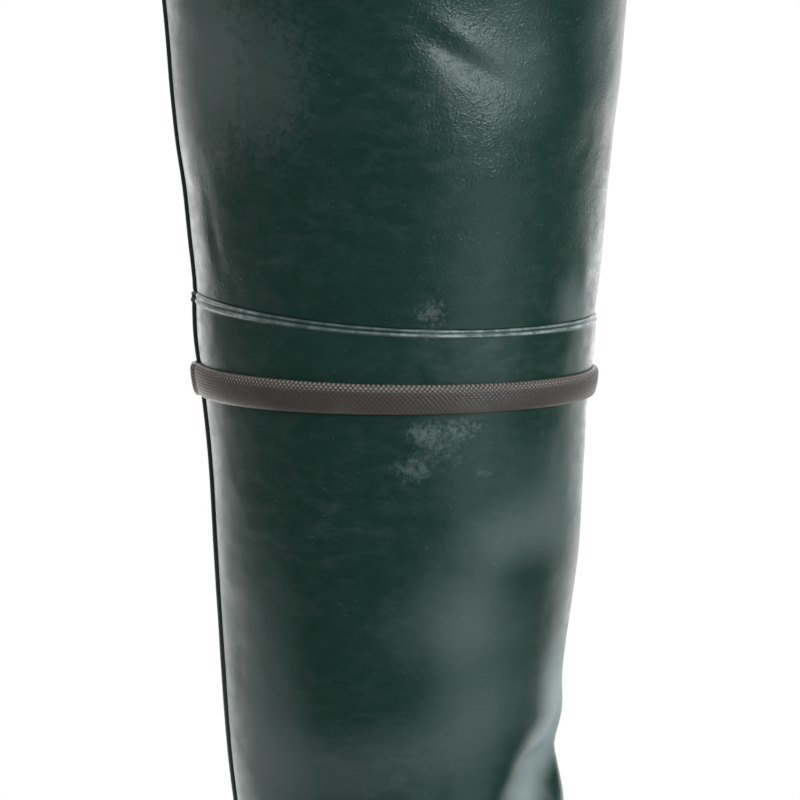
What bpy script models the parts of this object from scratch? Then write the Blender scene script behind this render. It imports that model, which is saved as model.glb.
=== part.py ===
"""Hip wader for the right foot: a knee-high rubber boot with a soft thigh tube bonded inside its collar.

The toe points along +X, the outer side of the leg is -Y and +Z is up. The origin is on the floor, in the
middle of the heel's ground face. All sizes are in metres.
"""

import math
from collections import namedtuple

import bmesh
import bpy
from mathutils import Vector

MM = 0.001

# Foot of the boot, measured on the outside of the upper
FOOT_LENGTH = 297 * MM
BALL_WIDTH = 104 * MM
HEEL_WIDTH = 74 * MM
INSTEP_HEIGHT = 138 * MM
TOE_SWING = 7.5 * MM

# Leg of the boot
ANKLE_HEIGHT = 213 * MM
BOOT_HEIGHT = 379 * MM
CALF_LENGTH = 145 * MM
CALF_DEPTH = 124 * MM
COLLAR_TILT = 4 * MM
COLLAR_DIP = 3.5 * MM
BOOT_WALL = 1.6 * MM

# Thigh tube
WADER_HEIGHT = 790 * MM
THIGH_LENGTH = 228 * MM
THIGH_DEPTH = 200 * MM
THIGH_LEAN = 4 * MM
TUBE_WALL = 1.2 * MM
TUBE_OVERLAP = 60 * MM
HEM_HEIGHT = 22 * MM
HEM_RAISE = 1.0 * MM

# Raised strip over the closing seam at the back of the leg
STRIP_WIDTH = 9.6 * MM
STRIP_RAISE = 1.5 * MM
STRIP_EDGE = 0.7 * MM

# Bevelled top edge of the boot
COLLAR_BEVEL = 3.0 * MM
COLLAR_EDGE = 0.5 * MM

# Ribbed band round the calf
BAND_DROP = 29 * MM
BAND_WIDTH = 11.2 * MM
BAND_THICKNESS = 2.4 * MM
BAND_ROUND = 0.9 * MM

# Outsole
HEEL_SEAT_HEIGHT = 30 * MM
FOREFOOT_HEIGHT = 17 * MM
TOE_SPRING = 10 * MM
HEEL_LENGTH = 74 * MM
ARCH_HEIGHT = 13 * MM
ARCH_END = 0.56
HEEL_DRAFT = 2 * MM
SOLE_MARGIN = 3.4 * MM
SOLE_RIB = 1.0 * MM
LIP_WALL = 2.2 * MM
LUG_DEPTH = 4.5 * MM
GROOVE_WIDTH = 5.0 * MM
GROOVE_PITCH = 17 * MM
GROOVE_ANGLE = math.radians(20)
GROOVE_START = 0.60
FOREFOOT_GROOVES = 7
HEEL_GROOVES = 2
HEEL_GROOVE_PITCH = 33 * MM

# Insole
INSOLE_THICKNESS = 3.5 * MM
INSOLE_CLEARANCE = 1.0 * MM

# Belt strap at the top of the outer side
PATCH_FOOT = 92 * MM
PATCH_HEIGHT = 62 * MM
PATCH_THICKNESS = 1.2 * MM
STRAP_WIDTH = 28 * MM
STRAP_THICKNESS = 2.2 * MM
STRAP_FOOT = 80 * MM
STRAP_RISE = 34 * MM
STRAP_JOIN = 40 * MM
STRAP_TAIL = 66 * MM
LOOP_RADIUS = 9 * MM
LOOP_STEPS = 8
STUD_RADIUS = 6.5 * MM
STUD_THICKNESS = 2.0 * MM
STUD_DROP = 58 * MM

# Distance kept between two pieces that touch
GAP = 0.3 * MM

# Around a section: stations of the four widths, from the heel to the toe
WIDTH_STATIONS = (-0.75, -0.2, 0.4, 0.88)
SWING_SHARES = (0.0, -0.45, 0.05, 0.9)
HALF_STEPS = 20
STEP_BUNCHING = 0.12

# Sections of the foot. back: share of FOOT_LENGTH. reach: from the ankle's front, 0, to the toe, 1.
# back_up and front_up: share of INSTEP_HEIGHT, and past 1 on towards ANKLE_HEIGHT. rear and waist: share
# of HEEL_WIDTH. ball and toe: share of BALL_WIDTH. square: 1 is an ellipse. follow: share of the sole line.
FootRow = namedtuple("FootRow", "name back reach back_up front_up rear waist ball toe square follow swing")
FOOT_ROWS = (
    FootRow("feather", 0.013, 0.982, 0.000, 0.000, 0.650, 0.472, 0.500, 0.510, 0.70, 1.0, 1.00),
    FootRow("welt", 0.003, 1.000, 0.058, 0.058, 0.676, 0.492, 0.520, 0.530, 0.70, 1.0, 1.00),
    FootRow("toe wall", 0.000, 0.996, 0.140, 0.140, 0.682, 0.505, 0.525, 0.527, 0.70, 1.0, 1.00),
    FootRow("toe top", 0.003, 0.957, 0.240, 0.262, 0.676, 0.520, 0.518, 0.500, 0.70, 0.9, 1.00),
    FootRow("vamp low", 0.010, 0.876, 0.350, 0.400, 0.656, 0.527, 0.488, 0.460, 0.70, 0.7, 0.95),
    FootRow("vamp middle", 0.018, 0.732, 0.473, 0.520, 0.632, 0.520, 0.445, 0.425, 0.70, 0.5, 0.85),
    FootRow("vamp high", 0.027, 0.562, 0.600, 0.622, 0.604, 0.503, 0.400, 0.375, 0.71, 0.3, 0.70),
    FootRow("vamp top", 0.034, 0.398, 0.732, 0.735, 0.566, 0.495, 0.372, 0.348, 0.74, 0.1, 0.50),
    FootRow("instep low", 0.041, 0.264, 0.855, 0.850, 0.545, 0.500, 0.362, 0.345, 0.78, 0.0, 0.30),
    FootRow("instep", 0.046, 0.154, 0.971, 1.000, 0.540, 0.522, 0.370, 0.356, 0.82, 0.0, 0.15),
    FootRow("instep high", 0.049, 0.082, 1.190, 1.290, 0.562, 0.556, 0.396, 0.387, 0.88, 0.0, 0.05),
    FootRow("ankle low", 0.051, 0.032, 1.500, 1.650, 0.612, 0.610, 0.432, 0.428, 0.93, 0.0, 0.00),
)

# Sections of the leg. back and front: share of CALF_LENGTH. up: from ANKLE_HEIGHT, 0, to BOOT_HEIGHT, 1.
# depth: share of CALF_DEPTH. tilt: rise of the back above the middle, share of COLLAR_TILT. dip: how far
# the two sides hang below the middle, share of COLLAR_DIP.
LegRow = namedtuple("LegRow", "name back front up depth square tilt dip")
LEG_ROWS = (
    LegRow("ankle fold", 0.079, 0.916, 0.000, 0.800, 0.97, -0.6, 0.0),
    LegRow("above the fold", 0.062, 0.938, 0.200, 0.850, 1.00, 0.0, 0.0),
    LegRow("calf low", 0.048, 0.971, 0.420, 0.910, 1.00, 0.0, 0.0),
    LegRow("calf high", 0.035, 0.986, 0.640, 0.955, 1.00, 0.0, 0.0),
    LegRow("under the band", 0.017, 0.998, 0.800, 0.980, 1.00, 0.0, 0.0),
    LegRow("over the band", -0.001, 1.012, 0.910, 0.998, 1.00, 0.5, 0.3),
    LegRow("collar", -0.004, 1.014, 1.000, 1.004, 1.00, 1.0, 1.0),
)

# Sections of the tube above the collar. rise: from the collar, 0, to WADER_HEIGHT, 1. back, front and
# depth: from the collar's size, 0, to THIGH_LENGTH and THIGH_DEPTH, 1.
ThighRow = namedtuple("ThighRow", "name rise back front depth")
THIGH_ROWS = (
    ThighRow("collar", 0.000, 0.000, 0.000, 0.000),
    ThighRow("over the collar", 0.026, 0.050, 0.078, 0.084),
    ThighRow("knee low", 0.092, 0.112, 0.145, 0.152),
    ThighRow("knee", 0.172, 0.200, 0.230, 0.237),
    ThighRow("knee high", 0.272, 0.272, 0.325, 0.323),
    ThighRow("thigh low", 0.520, 0.530, 0.575, 0.575),
    ThighRow("thigh middle", 0.770, 0.775, 0.805, 0.805),
    ThighRow("top", 1.000, 1.000, 1.000, 1.000),
)

# Where the outsole's lip ends, counted in the rows of the foot's table: at the sides, and how much higher
# it comes round the toe and at the heel
LIP_SIDE = 1.35
LIP_TOE = 0.55
LIP_HEEL = 0.30

# Way of the strap down from its loop to the stud. up: from the join, 0, to the loop's centre, 1. out: share
# of LOOP_RADIUS.
StrapRow = namedtuple("StrapRow", "name up out")
STRAP_ROWS = (
    StrapRow("shoulder", 0.73, 1.90),
    StrapRow("waist", 0.33, 1.02),
    StrapRow("join", 0.00, 0.00),
)

# Outline of the outsole's side. height: from the tread, 0, to the lip's edge, 1. out: share of SOLE_MARGIN.
# rib: share of SOLE_RIB.
SideRow = namedtuple("SideRow", "height out rib")
SIDE_ROWS = (
    SideRow(0.00, 0.70, 0.0),
    SideRow(0.10, 1.00, 0.0),
    SideRow(0.34, 1.00, 0.0),
    SideRow(0.37, 1.00, 1.0),
    SideRow(0.52, 1.00, 1.0),
    SideRow(0.55, 1.00, 0.0),
    SideRow(0.80, 0.95, 0.0),
)

# A section in metres: its back and front points, four half widths, roundness, how far it follows the
# sole's line and the toe's swing, and the dip of its sides
Ring = namedtuple("Ring", "back_x back_z front_x front_z rear waist ball toe square follow swing dip")

# A station around a section: its angle from the toe or, on the strip, its distance from the middle
Station = namedtuple("Station", "angle side distance raised")


def smoothstep(low, high, value):
    """0 below low, 1 above high and a smooth rise between them."""
    share = min(1.0, max(0.0, (value - low) / (high - low)))
    return share * share * (3 - 2 * share)


def lerp(start, end, share):
    return start + (end - start) * share


def sole_line(x):
    """Height of the upper's lower edge above the floor, at a distance x in front of the heel's back."""
    drop = smoothstep(0.22 * FOOT_LENGTH, 0.62 * FOOT_LENGTH, x)
    spring = max(0.0, (x - 0.72 * FOOT_LENGTH) / (0.28 * FOOT_LENGTH))
    return lerp(HEEL_SEAT_HEIGHT, FOREFOOT_HEIGHT, drop) + TOE_SPRING * spring**2


def tread_line(x):
    """Height of the tread above the floor: flat to the ball, then up with the toe spring."""
    spring = max(0.0, (x - 0.76 * FOOT_LENGTH) / (0.24 * FOOT_LENGTH))
    return TOE_SPRING * spring**2


def foot_ring(row):
    ankle_front = LEG_ROWS[0].front * CALF_LENGTH

    def height(up):
        return min(up, 1.0) * INSTEP_HEIGHT + max(up - 1.0, 0.0) * (ANKLE_HEIGHT - INSTEP_HEIGHT)

    return Ring(
        row.back * FOOT_LENGTH,
        height(row.back_up),
        lerp(ankle_front, FOOT_LENGTH, row.reach),
        height(row.front_up),
        row.rear * HEEL_WIDTH,
        row.waist * HEEL_WIDTH,
        row.ball * BALL_WIDTH,
        row.toe * BALL_WIDTH,
        row.square,
        row.follow,
        row.swing,
        0.0,
    )


def leg_ring(row):
    middle = lerp(ANKLE_HEIGHT, BOOT_HEIGHT, row.up)
    half = row.depth * CALF_DEPTH / 2
    return Ring(
        row.back * CALF_LENGTH,
        middle + row.tilt * COLLAR_TILT,
        row.front * CALF_LENGTH,
        middle - row.tilt * COLLAR_TILT,
        half,
        half,
        half,
        half,
        row.square,
        0.0,
        0.0,
        row.dip * COLLAR_DIP,
    )


def thigh_ring(row):
    collar = leg_ring(LEG_ROWS[-1])
    inset = BOOT_WALL + GAP
    middle = (collar.back_x + collar.front_x) / 2 - THIGH_LEAN
    half = lerp(collar.ball - inset, THIGH_DEPTH / 2, row.depth)
    return Ring(
        lerp(collar.back_x + inset, middle - THIGH_LENGTH / 2, row.back),
        lerp(collar.back_z, WADER_HEIGHT, row.rise),
        lerp(collar.front_x - inset, middle + THIGH_LENGTH / 2, row.front),
        lerp(collar.front_z, WADER_HEIGHT, row.rise),
        half,
        half,
        half,
        half,
        1.0,
        0.0,
        0.0,
        collar.dip * (1 - smoothstep(0.0, 0.3, row.rise)),
    )


BOOT_RINGS = [foot_ring(row) for row in FOOT_ROWS] + [leg_ring(row) for row in LEG_ROWS]
TUBE_RINGS = [thigh_ring(row) for row in THIGH_ROWS]
FIRST_LEG_RING = len(FOOT_ROWS)
COLLAR = len(BOOT_RINGS) - 1
TOP = len(TUBE_RINGS) - 1


def ring_at(rings, place):
    """The section at a place in the list, read from a smooth curve through the rows."""
    place = min(max(place, 0.0), len(rings) - 1.0)
    index = min(int(place), len(rings) - 2)
    share = place - index
    before = rings[max(index - 1, 0)]
    start = rings[index]
    end = rings[index + 1]
    after = rings[min(index + 2, len(rings) - 1)]
    values = []
    for a, b, c, d in zip(before, start, end, after):
        bend = 2 * a - 5 * b + 4 * c - d
        twist = -a + 3 * b - 3 * c + d
        values.append(b + 0.5 * share * ((c - a) + share * (bend + share * twist)))
    return Ring(*values)


def around(values, along):
    """A value between the four width stations, at a place from -1, the heel, to 1, the toe."""
    for i in range(len(WIDTH_STATIONS) - 1):
        if along <= WIDTH_STATIONS[i + 1]:
            share = smoothstep(WIDTH_STATIONS[i], WIDTH_STATIONS[i + 1], along)
            return lerp(values[i], values[i + 1], share)
    return values[-1]


def on_section(ring, angle):
    """The point of a section at an angle from the toe, turning towards the inner side."""
    along = math.cos(angle)
    share = (1 + along) / 2
    x = lerp(ring.back_x, ring.front_x, share)
    width = around((ring.rear, ring.waist, ring.ball, ring.toe), along)
    across = math.sin(angle)
    y = math.copysign(abs(across) ** ring.square, across) * width
    y += around(SWING_SHARES, along) * TOE_SWING * ring.swing
    z = lerp(ring.back_z, ring.front_z, share) + ring.follow * sole_line(x) - ring.dip * across**2
    return Vector((x, y, z))


def step_angle(i):
    """Angle from the toe of a regular station: they stand closer at toe and heel than at the sides."""
    return math.pi * i / HALF_STEPS - STEP_BUNCHING * math.sin(2 * math.pi * i / HALF_STEPS)


def section_stations():
    """Stations from the toe round the inner side, over the strip at the back and along the outer side."""
    regular = [Station(step_angle(i), 1, None, 0.0) for i in range(HALF_STEPS)]
    foot = Station(None, 1, STRIP_WIDTH / 2, 0.0)
    edge = Station(None, 1, STRIP_WIDTH / 2 - STRIP_EDGE, 1.0)
    back = Station(math.pi, 1, None, 1.0)
    half = regular[1:] + [foot, edge]
    mirrored = [station._replace(side=-1) for station in reversed(half)]
    return [regular[0]] + half + [back] + mirrored


STATIONS = section_stations()


def station_angle(ring, station):
    if station.angle is not None:
        return station.side * station.angle
    across = (station.distance / ring.rear) ** (1 / ring.square)
    return station.side * (math.pi - math.asin(across))


def skin(rings, place, station, out=0.0, strip=0.0):
    """A point of a surface, moved out along its normal. strip is how far the seam strip is raised there."""
    ring = ring_at(rings, place)
    angle = station_angle(ring, station)
    small = 1e-3
    below = on_section(ring_at(rings, place - small), angle)
    above = on_section(ring_at(rings, place + small), angle)
    before = on_section(ring, angle - small)
    after = on_section(ring, angle + small)
    normal = (after - before).cross(above - below).normalized()
    return on_section(ring, angle) + normal * (out + strip * station.raised)


def place_at_height(rings, height, first=0.0):
    """Where the middle of a section reaches a height."""
    low = first
    high = len(rings) - 1.0
    for _ in range(40):
        place = (low + high) / 2
        ring = ring_at(rings, place)
        if (ring.back_z + ring.front_z) / 2 < height:
            low = place
        else:
            high = place
    return (low + high) / 2


def lip_place(station):
    """Where the outsole's lip ends on the upper: higher round the toe and a little at the heel."""
    along = math.cos(station.angle) if station.angle is not None else -1.0
    toe = smoothstep(0.45, 1.0, along)
    heel = smoothstep(0.5, 1.0, -along)
    return LIP_SIDE + LIP_TOE * toe + LIP_HEEL * heel


def boot_row(place, out=0.0, strip=STRIP_RAISE):
    return [skin(BOOT_RINGS, place, station, out, strip) for station in STATIONS]


def boot_row_by_lip(share, out=0.0):
    """A row of the boot between its lower edge, 0, and the lip's end, 1. The strip ends above it."""
    return [skin(BOOT_RINGS, share * lip_place(station), station, out) for station in STATIONS]


def tube_row(place, out=0.0, strip=STRIP_RAISE):
    return [skin(TUBE_RINGS, place, station, out, strip) for station in STATIONS]


def add_object(name, mesh, material, collection):
    obj = bpy.data.objects.new(name, mesh)
    obj.location.x = -HEEL_LENGTH / 2
    collection.objects.link(obj)
    if material:
        mesh.materials.append(material)
    return obj


def ladder(count, offset, facing_up):
    """Faces across a closed row, between each point of one side and its partner on the other."""
    faces = []
    for i in range(count // 2):
        face = [i, i + 1, count - i - 1, (count - i) % count]
        face = list(dict.fromkeys(face))
        faces.append([offset + k for k in (face if facing_up else reversed(face))])
    return faces


def loft(name, rows, closed):
    """A mesh through rows of points: a closed wall whose last row meets its first, or a capped solid."""
    mesh = bpy.data.meshes.new(name)
    count = len(rows[0])
    points = [point for row in rows for point in row]
    faces = []
    for k in range(len(rows) if closed else len(rows) - 1):
        low = k * count
        high = (k + 1) % len(rows) * count
        for i in range(count):
            j = (i + 1) % count
            faces.append([low + i, low + j, high + j, high + i])
    if not closed:
        faces += ladder(count, 0, False)
        faces += ladder(count, (len(rows) - 1) * count, True)
    mesh.from_pydata(points, [], faces)
    mesh.update()
    return mesh


def smooth(mesh, angle=math.radians(35)):
    mesh.shade_smooth()
    mesh.set_sharp_from_angle(angle=angle)


def band_places():
    """Places on the boot of the band's lower and upper edges."""
    middle = BOOT_HEIGHT - BAND_DROP
    low = place_at_height(BOOT_RINGS, middle - BAND_WIDTH / 2, FIRST_LEG_RING)
    high = place_at_height(BOOT_RINGS, middle + BAND_WIDTH / 2, FIRST_LEG_RING)
    return low, high


def overlap_place():
    """Place on the boot where the tube's hidden lower end lies."""
    return place_at_height(BOOT_RINGS, BOOT_HEIGHT - TUBE_OVERLAP, FIRST_LEG_RING)


def make_boot_upper(collection, material):
    """Foot and leg of the boot as one wall, open underneath and at the collar."""
    band_low, band_high = band_places()
    tube_end = overlap_place()
    shoulder = place_at_height(BOOT_RINGS, BOOT_HEIGHT - COLLAR_BEVEL, FIRST_LEG_RING)
    outer = [boot_row_by_lip(share) for share in (0.0, 0.5, 1.0)]
    foot_places = [2.5, 3, 3.5, 4, 4.5, 5, 5.5, 6, 6.5, 7, 7.5, 8, 8.5, 9, 9.5, 10, 10.5, 11, 11.5]
    leg_places = [12, 12.5, 13, 14, 15, tube_end]
    outer += [boot_row(place) for place in foot_places + leg_places + [band_low, band_high, shoulder]]
    outer += [boot_row(COLLAR, COLLAR_EDGE - BOOT_WALL, 0.0)]
    inner_places = [COLLAR, band_high, band_low, tube_end, 14, 13, 12, 11, 10, 9, 8, 7, 6, 5, 4, 3]
    inner = [boot_row(place, -BOOT_WALL, 0.0) for place in inner_places]
    inner += [boot_row_by_lip(share, -BOOT_WALL) for share in (1.0, 0.5, 0.0)]
    mesh = loft("boot_upper", outer + inner, True)
    smooth(mesh)
    return add_object("boot_upper", mesh, material, collection)


def patch_places():
    """Places on the tube of the strap patch's lower and upper edges."""
    low = place_at_height(TUBE_RINGS, WADER_HEIGHT - PATCH_FOOT)
    high = place_at_height(TUBE_RINGS, WADER_HEIGHT - PATCH_FOOT + PATCH_HEIGHT)
    return low, high


def make_thigh_tube(collection, material):
    """Soft tube from inside the boot's collar to the hip, with a hem round its top."""
    band_low, band_high = band_places()
    hidden = BOOT_WALL + GAP
    hem = place_at_height(TUBE_RINGS, WADER_HEIGHT - HEM_HEIGHT)
    hem_step = place_at_height(TUBE_RINGS, WADER_HEIGHT - HEM_HEIGHT + HEM_RAISE / 2)
    patch_low, patch_high = patch_places()
    hidden_places = [overlap_place(), band_low, band_high, COLLAR]
    open_places = [1, 2, 3, 4, 4.5, 5, 5.5, 6, patch_low, patch_high, hem]
    outer = [boot_row(place, -hidden, 0.0) for place in hidden_places]
    outer += [tube_row(place) for place in open_places]
    outer += [tube_row(hem_step, HEM_RAISE, 0.0), tube_row(TOP, HEM_RAISE, 0.0)]
    inner = [tube_row(place, -TUBE_WALL, 0.0) for place in [TOP, hem, 6, 5, 4, 3, 2, 1]]
    inner += [boot_row(place, -hidden - TUBE_WALL, 0.0) for place in reversed(hidden_places)]
    mesh = loft("thigh_tube", outer + inner, True)
    smooth(mesh)
    return add_object("thigh_tube", mesh, material, collection)


def make_calf_band(collection, material):
    """Rounded band round the calf, which passes over the seam strip."""
    low, high = band_places()
    corner = BAND_ROUND / BAND_WIDTH
    profile = [
        (0.0, 0.0),
        (0.0, BAND_THICKNESS - BAND_ROUND),
        (corner, BAND_THICKNESS),
        (1 - corner, BAND_THICKNESS),
        (1.0, BAND_THICKNESS - BAND_ROUND),
        (1.0, 0.0),
    ]
    rows = []
    for share, out in profile:
        edges = [boot_row(low, GAP + out), boot_row(high, GAP + out)]
        rows.append([a.lerp(b, share) for a, b in zip(*edges)])
    mesh = loft("calf_band", rows, True)
    smooth(mesh)
    return add_object("calf_band", mesh, material, collection)


def sole_side_row(row):
    """One line round the outsole's side."""
    points = []
    for station in STATIONS:
        wall = skin(BOOT_RINGS, lip_place(station), station)
        ring = ring_at(BOOT_RINGS, lip_place(station))
        angle = station_angle(ring, station)
        small = 1e-3
        run = on_section(ring, angle + small) - on_section(ring, angle - small)
        outward = Vector((run.y, -run.x, 0)).normalized()
        point = wall + outward * (GAP + row.out * SOLE_MARGIN + row.rib * SOLE_RIB)
        point.z = lerp(tread_line(point.x), wall.z, row.height)
        points.append(point)
    return points


def seat_row(below):
    """Edge of the seat inside the lip, at a distance below the upper's lower edge."""
    points = []
    for station in STATIONS:
        point = skin(BOOT_RINGS, 0.0, station, GAP)
        point.z = sole_line(point.x) - below
        points.append(point)
    return points


def prism_cutter(name, outline, shift, collection):
    """A cutter with a flat outline, drawn out to a solid by a shift."""
    mesh = bpy.data.meshes.new(name)
    build = bmesh.new()
    base = build.faces.new([build.verts.new(point) for point in outline])
    moved = bmesh.ops.extrude_face_region(build, geom=[base])["geom"]
    corners = [item for item in moved if isinstance(item, bmesh.types.BMVert)]
    bmesh.ops.translate(build, verts=corners, vec=shift)
    bmesh.ops.recalc_face_normals(build, faces=build.faces)
    build.to_mesh(mesh)
    build.free()
    cutter = add_object(name, mesh, None, collection)
    cutter.hide_render = True
    cutter.display_type = "WIRE"
    return cutter


def cut(obj, cutter):
    modifier = obj.modifiers.new(cutter.name, "BOOLEAN")
    modifier.operation = "DIFFERENCE"
    modifier.object = cutter


def arch_cutter(collection):
    """Wedge that leaves the heel's front face and the arch of the waist."""
    end = ARCH_END * FOOT_LENGTH
    under = -ARCH_HEIGHT
    slope = ARCH_HEIGHT / (end - HEEL_LENGTH)
    outline = [
        (HEEL_LENGTH, -BALL_WIDTH, under),
        (end - under / slope, -BALL_WIDTH, under),
        (HEEL_LENGTH + HEEL_DRAFT, -BALL_WIDTH, ARCH_HEIGHT),
    ]
    return prism_cutter("arch_cutter", outline, (0, 2 * BALL_WIDTH, 0), collection)


def chevron_cutter(name, x, collection):
    """Groove across the tread in the form of a chevron that points to the toe."""
    lean = math.tan(GROOVE_ANGLE) * BALL_WIDTH
    low = tread_line(x) - LUG_DEPTH
    outline = [
        (x - lean, -BALL_WIDTH, low),
        (x, 0, low),
        (x - lean, BALL_WIDTH, low),
        (x - lean + GROOVE_WIDTH, BALL_WIDTH, low),
        (x + GROOVE_WIDTH, 0, low),
        (x - lean + GROOVE_WIDTH, -BALL_WIDTH, low),
    ]
    return prism_cutter(name, outline, (0, 0, 2 * LUG_DEPTH), collection)


def groove_places():
    """Distances from the heel's back to the tips of the grooves across the forefoot and the heel."""
    first = GROOVE_START * FOOT_LENGTH
    forefoot = [first + i * GROOVE_PITCH for i in range(FOREFOOT_GROOVES)]
    middle = HEEL_LENGTH / 2
    heel = [middle + (i - (HEEL_GROOVES - 1) / 2) * HEEL_GROOVE_PITCH for i in range(HEEL_GROOVES)]
    return forefoot + heel


def make_outsole(collection, cutters, material):
    """Outsole with heel, arch, toe spring, side rib, lip round the upper and grooves in its tread."""
    rows = [sole_side_row(row) for row in SIDE_ROWS]
    rows.append(boot_row_by_lip(1.0, GAP + LIP_WALL))
    rows += [boot_row_by_lip(share, GAP) for share in (1.0, 0.5, 0.0)]
    rows.append(seat_row(GAP))
    mesh = loft("outsole", rows, False)
    sole = add_object("outsole", mesh, material, collection)
    cut(sole, arch_cutter(cutters))
    for i, x in enumerate(groove_places()):
        cut(sole, chevron_cutter(f"groove_cutter_{i}", x, cutters))
    smooth(mesh, math.radians(30))
    return sole


def make_insole(collection, material):
    """Thin insole on the outsole's seat, inside the upper."""
    rows = []
    for up in (0.0, INSOLE_THICKNESS):
        row = []
        for station in STATIONS:
            point = skin(BOOT_RINGS, 0.0, station, -BOOT_WALL - INSOLE_CLEARANCE)
            point.z = sole_line(point.x) + up
            row.append(point)
        rows.append(row)
    mesh = loft("insole", rows, False)
    smooth(mesh)
    return add_object("insole", mesh, material, collection)


def outer_side_stations(reach):
    """Regular stations on the outer side, so many steps to either side of its middle."""
    middle = HALF_STEPS // 2
    return [Station(step_angle(i), -1, None, 0.0) for i in range(middle - reach, middle + reach + 1)]


def solidify(obj, thickness, offset):
    modifier = obj.modifiers.new("wall", "SOLIDIFY")
    modifier.thickness = thickness
    modifier.offset = offset
    modifier.use_even_offset = True


def grid_mesh(name, rows):
    """An open sheet through rows of points."""
    mesh = bpy.data.meshes.new(name)
    count = len(rows[0])
    faces = []
    for k in range(len(rows) - 1):
        for i in range(count - 1):
            first = k * count + i
            faces.append([first, first + 1, first + count + 1, first + count])
    mesh.from_pydata([point for row in rows for point in row], [], faces)
    mesh.update()
    return mesh


def make_strap_patch(collection, material):
    """Patch welded on the outer side under the hem, which carries the belt strap."""
    low, high = patch_places()
    stations = outer_side_stations(2)[::-1]
    rows = [[skin(TUBE_RINGS, place, station, GAP) for station in stations] for place in (low, high)]
    mesh = grid_mesh("strap_patch", rows)
    patch = add_object("strap_patch", mesh, material, collection)
    solidify(patch, PATCH_THICKNESS, 1.0)
    return patch


def strap_path():
    """Points of the strap's middle surface, from its foot on the patch, up, over the loop and down again."""
    side = outer_side_stations(0)[0]
    away = GAP + PATCH_THICKNESS + GAP + STRAP_THICKNESS / 2
    foot = skin(TUBE_RINGS, place_at_height(TUBE_RINGS, WADER_HEIGHT - STRAP_FOOT), side, away)
    hem = skin(TUBE_RINGS, TOP, side, away)
    along = (hem - foot).normalized()
    out = Vector((0, -along.z, along.y)).normalized()
    centre = hem + along * STRAP_RISE + out * LOOP_RADIUS
    path = [foot, hem]
    for i in range(LOOP_STEPS + 1):
        angle = math.pi * i / LOOP_STEPS
        path.append(centre - out * LOOP_RADIUS * math.cos(angle) + along * LOOP_RADIUS * math.sin(angle))
    beside = out * (STRAP_THICKNESS + GAP)
    for row in STRAP_ROWS:
        rise = lerp(-STRAP_JOIN, STRAP_RISE, row.up)
        path.append(hem + along * rise + beside + out * row.out * LOOP_RADIUS)
    path.append(hem - along * STRAP_TAIL + beside)
    return path, out, along


def make_belt_strap(collection, material):
    """Strap folded over into a standing loop for the belt."""
    path, _, _ = strap_path()
    half = Vector((STRAP_WIDTH / 2, 0, 0))
    rows = [[point - half, point + half] for point in path]
    mesh = grid_mesh("belt_strap", rows)
    strap = add_object("belt_strap", mesh, material, collection)
    solidify(strap, STRAP_THICKNESS, 0.0)
    return strap


def make_strap_stud(collection, material):
    """Stud that holds the strap's free end down on the patch."""
    path, out, along = strap_path()
    base = path[1] - along * STUD_DROP + out * (1.5 * STRAP_THICKNESS + 2 * GAP)
    mesh = bpy.data.meshes.new("strap_stud")
    build = bmesh.new()
    bmesh.ops.create_cone(
        build,
        cap_ends=True,
        segments=20,
        radius1=STUD_RADIUS,
        radius2=STUD_RADIUS * 0.72,
        depth=STUD_THICKNESS,
    )
    bmesh.ops.translate(build, verts=build.verts, vec=(0, 0, STUD_THICKNESS / 2))
    build.to_mesh(mesh)
    build.free()
    smooth(mesh)
    stud = add_object("strap_stud", mesh, material, collection)
    stud.location += base
    stud.rotation_euler = out.to_track_quat("Z", "Y").to_euler()
    return stud


def make_material(name, colour, roughness, metallic=0.0):
    material = bpy.data.materials.new(name)
    material.use_nodes = True
    shader = material.node_tree.nodes["Principled BSDF"]
    shader.inputs["Base Color"].default_value = (*colour, 1)
    shader.inputs["Roughness"].default_value = roughness
    shader.inputs["Metallic"].default_value = metallic
    material.diffuse_color = (*colour, 1)
    return material


def main():
    for obj in list(bpy.data.objects):
        bpy.data.objects.remove(obj)
    wader = bpy.data.collections.new("hip_wader")
    cutters = bpy.data.collections.new("cutters")
    for collection in (wader, cutters):
        bpy.context.scene.collection.children.link(collection)

    boot_green = make_material("boot_green", (0.016, 0.050, 0.036), 0.34)
    tube_green = make_material("tube_green", (0.015, 0.046, 0.034), 0.38)
    trim_brown = make_material("trim_brown", (0.060, 0.047, 0.043), 0.50)
    insole_grey = make_material("insole_grey", (0.200, 0.200, 0.190), 0.90)
    strap_green = make_material("strap_green", (0.013, 0.040, 0.029), 0.42)
    stud_steel = make_material("stud_steel", (0.320, 0.310, 0.290), 0.35, 1.0)

    make_outsole(wader, cutters, trim_brown)
    make_insole(wader, insole_grey)
    make_boot_upper(wader, boot_green)
    make_calf_band(wader, trim_brown)
    make_thigh_tube(wader, tube_green)
    make_strap_patch(wader, tube_green)
    make_belt_strap(wader, strap_green)
    make_strap_stud(wader, stud_steel)


main()
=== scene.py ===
"""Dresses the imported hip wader: fine shells for its rubber pieces, their finishes, the light and the camera.

Lengths are in metres. +X points to the toe, -Y is the outer side that the camera sees and +Z is up. A
section's own x runs from the back of the heel, and the frame's origin is in the middle of the heel.
"""

import logging
import math
from dataclasses import astuple, dataclass
from enum import Enum
from typing import Callable, NamedTuple, Sequence

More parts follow.
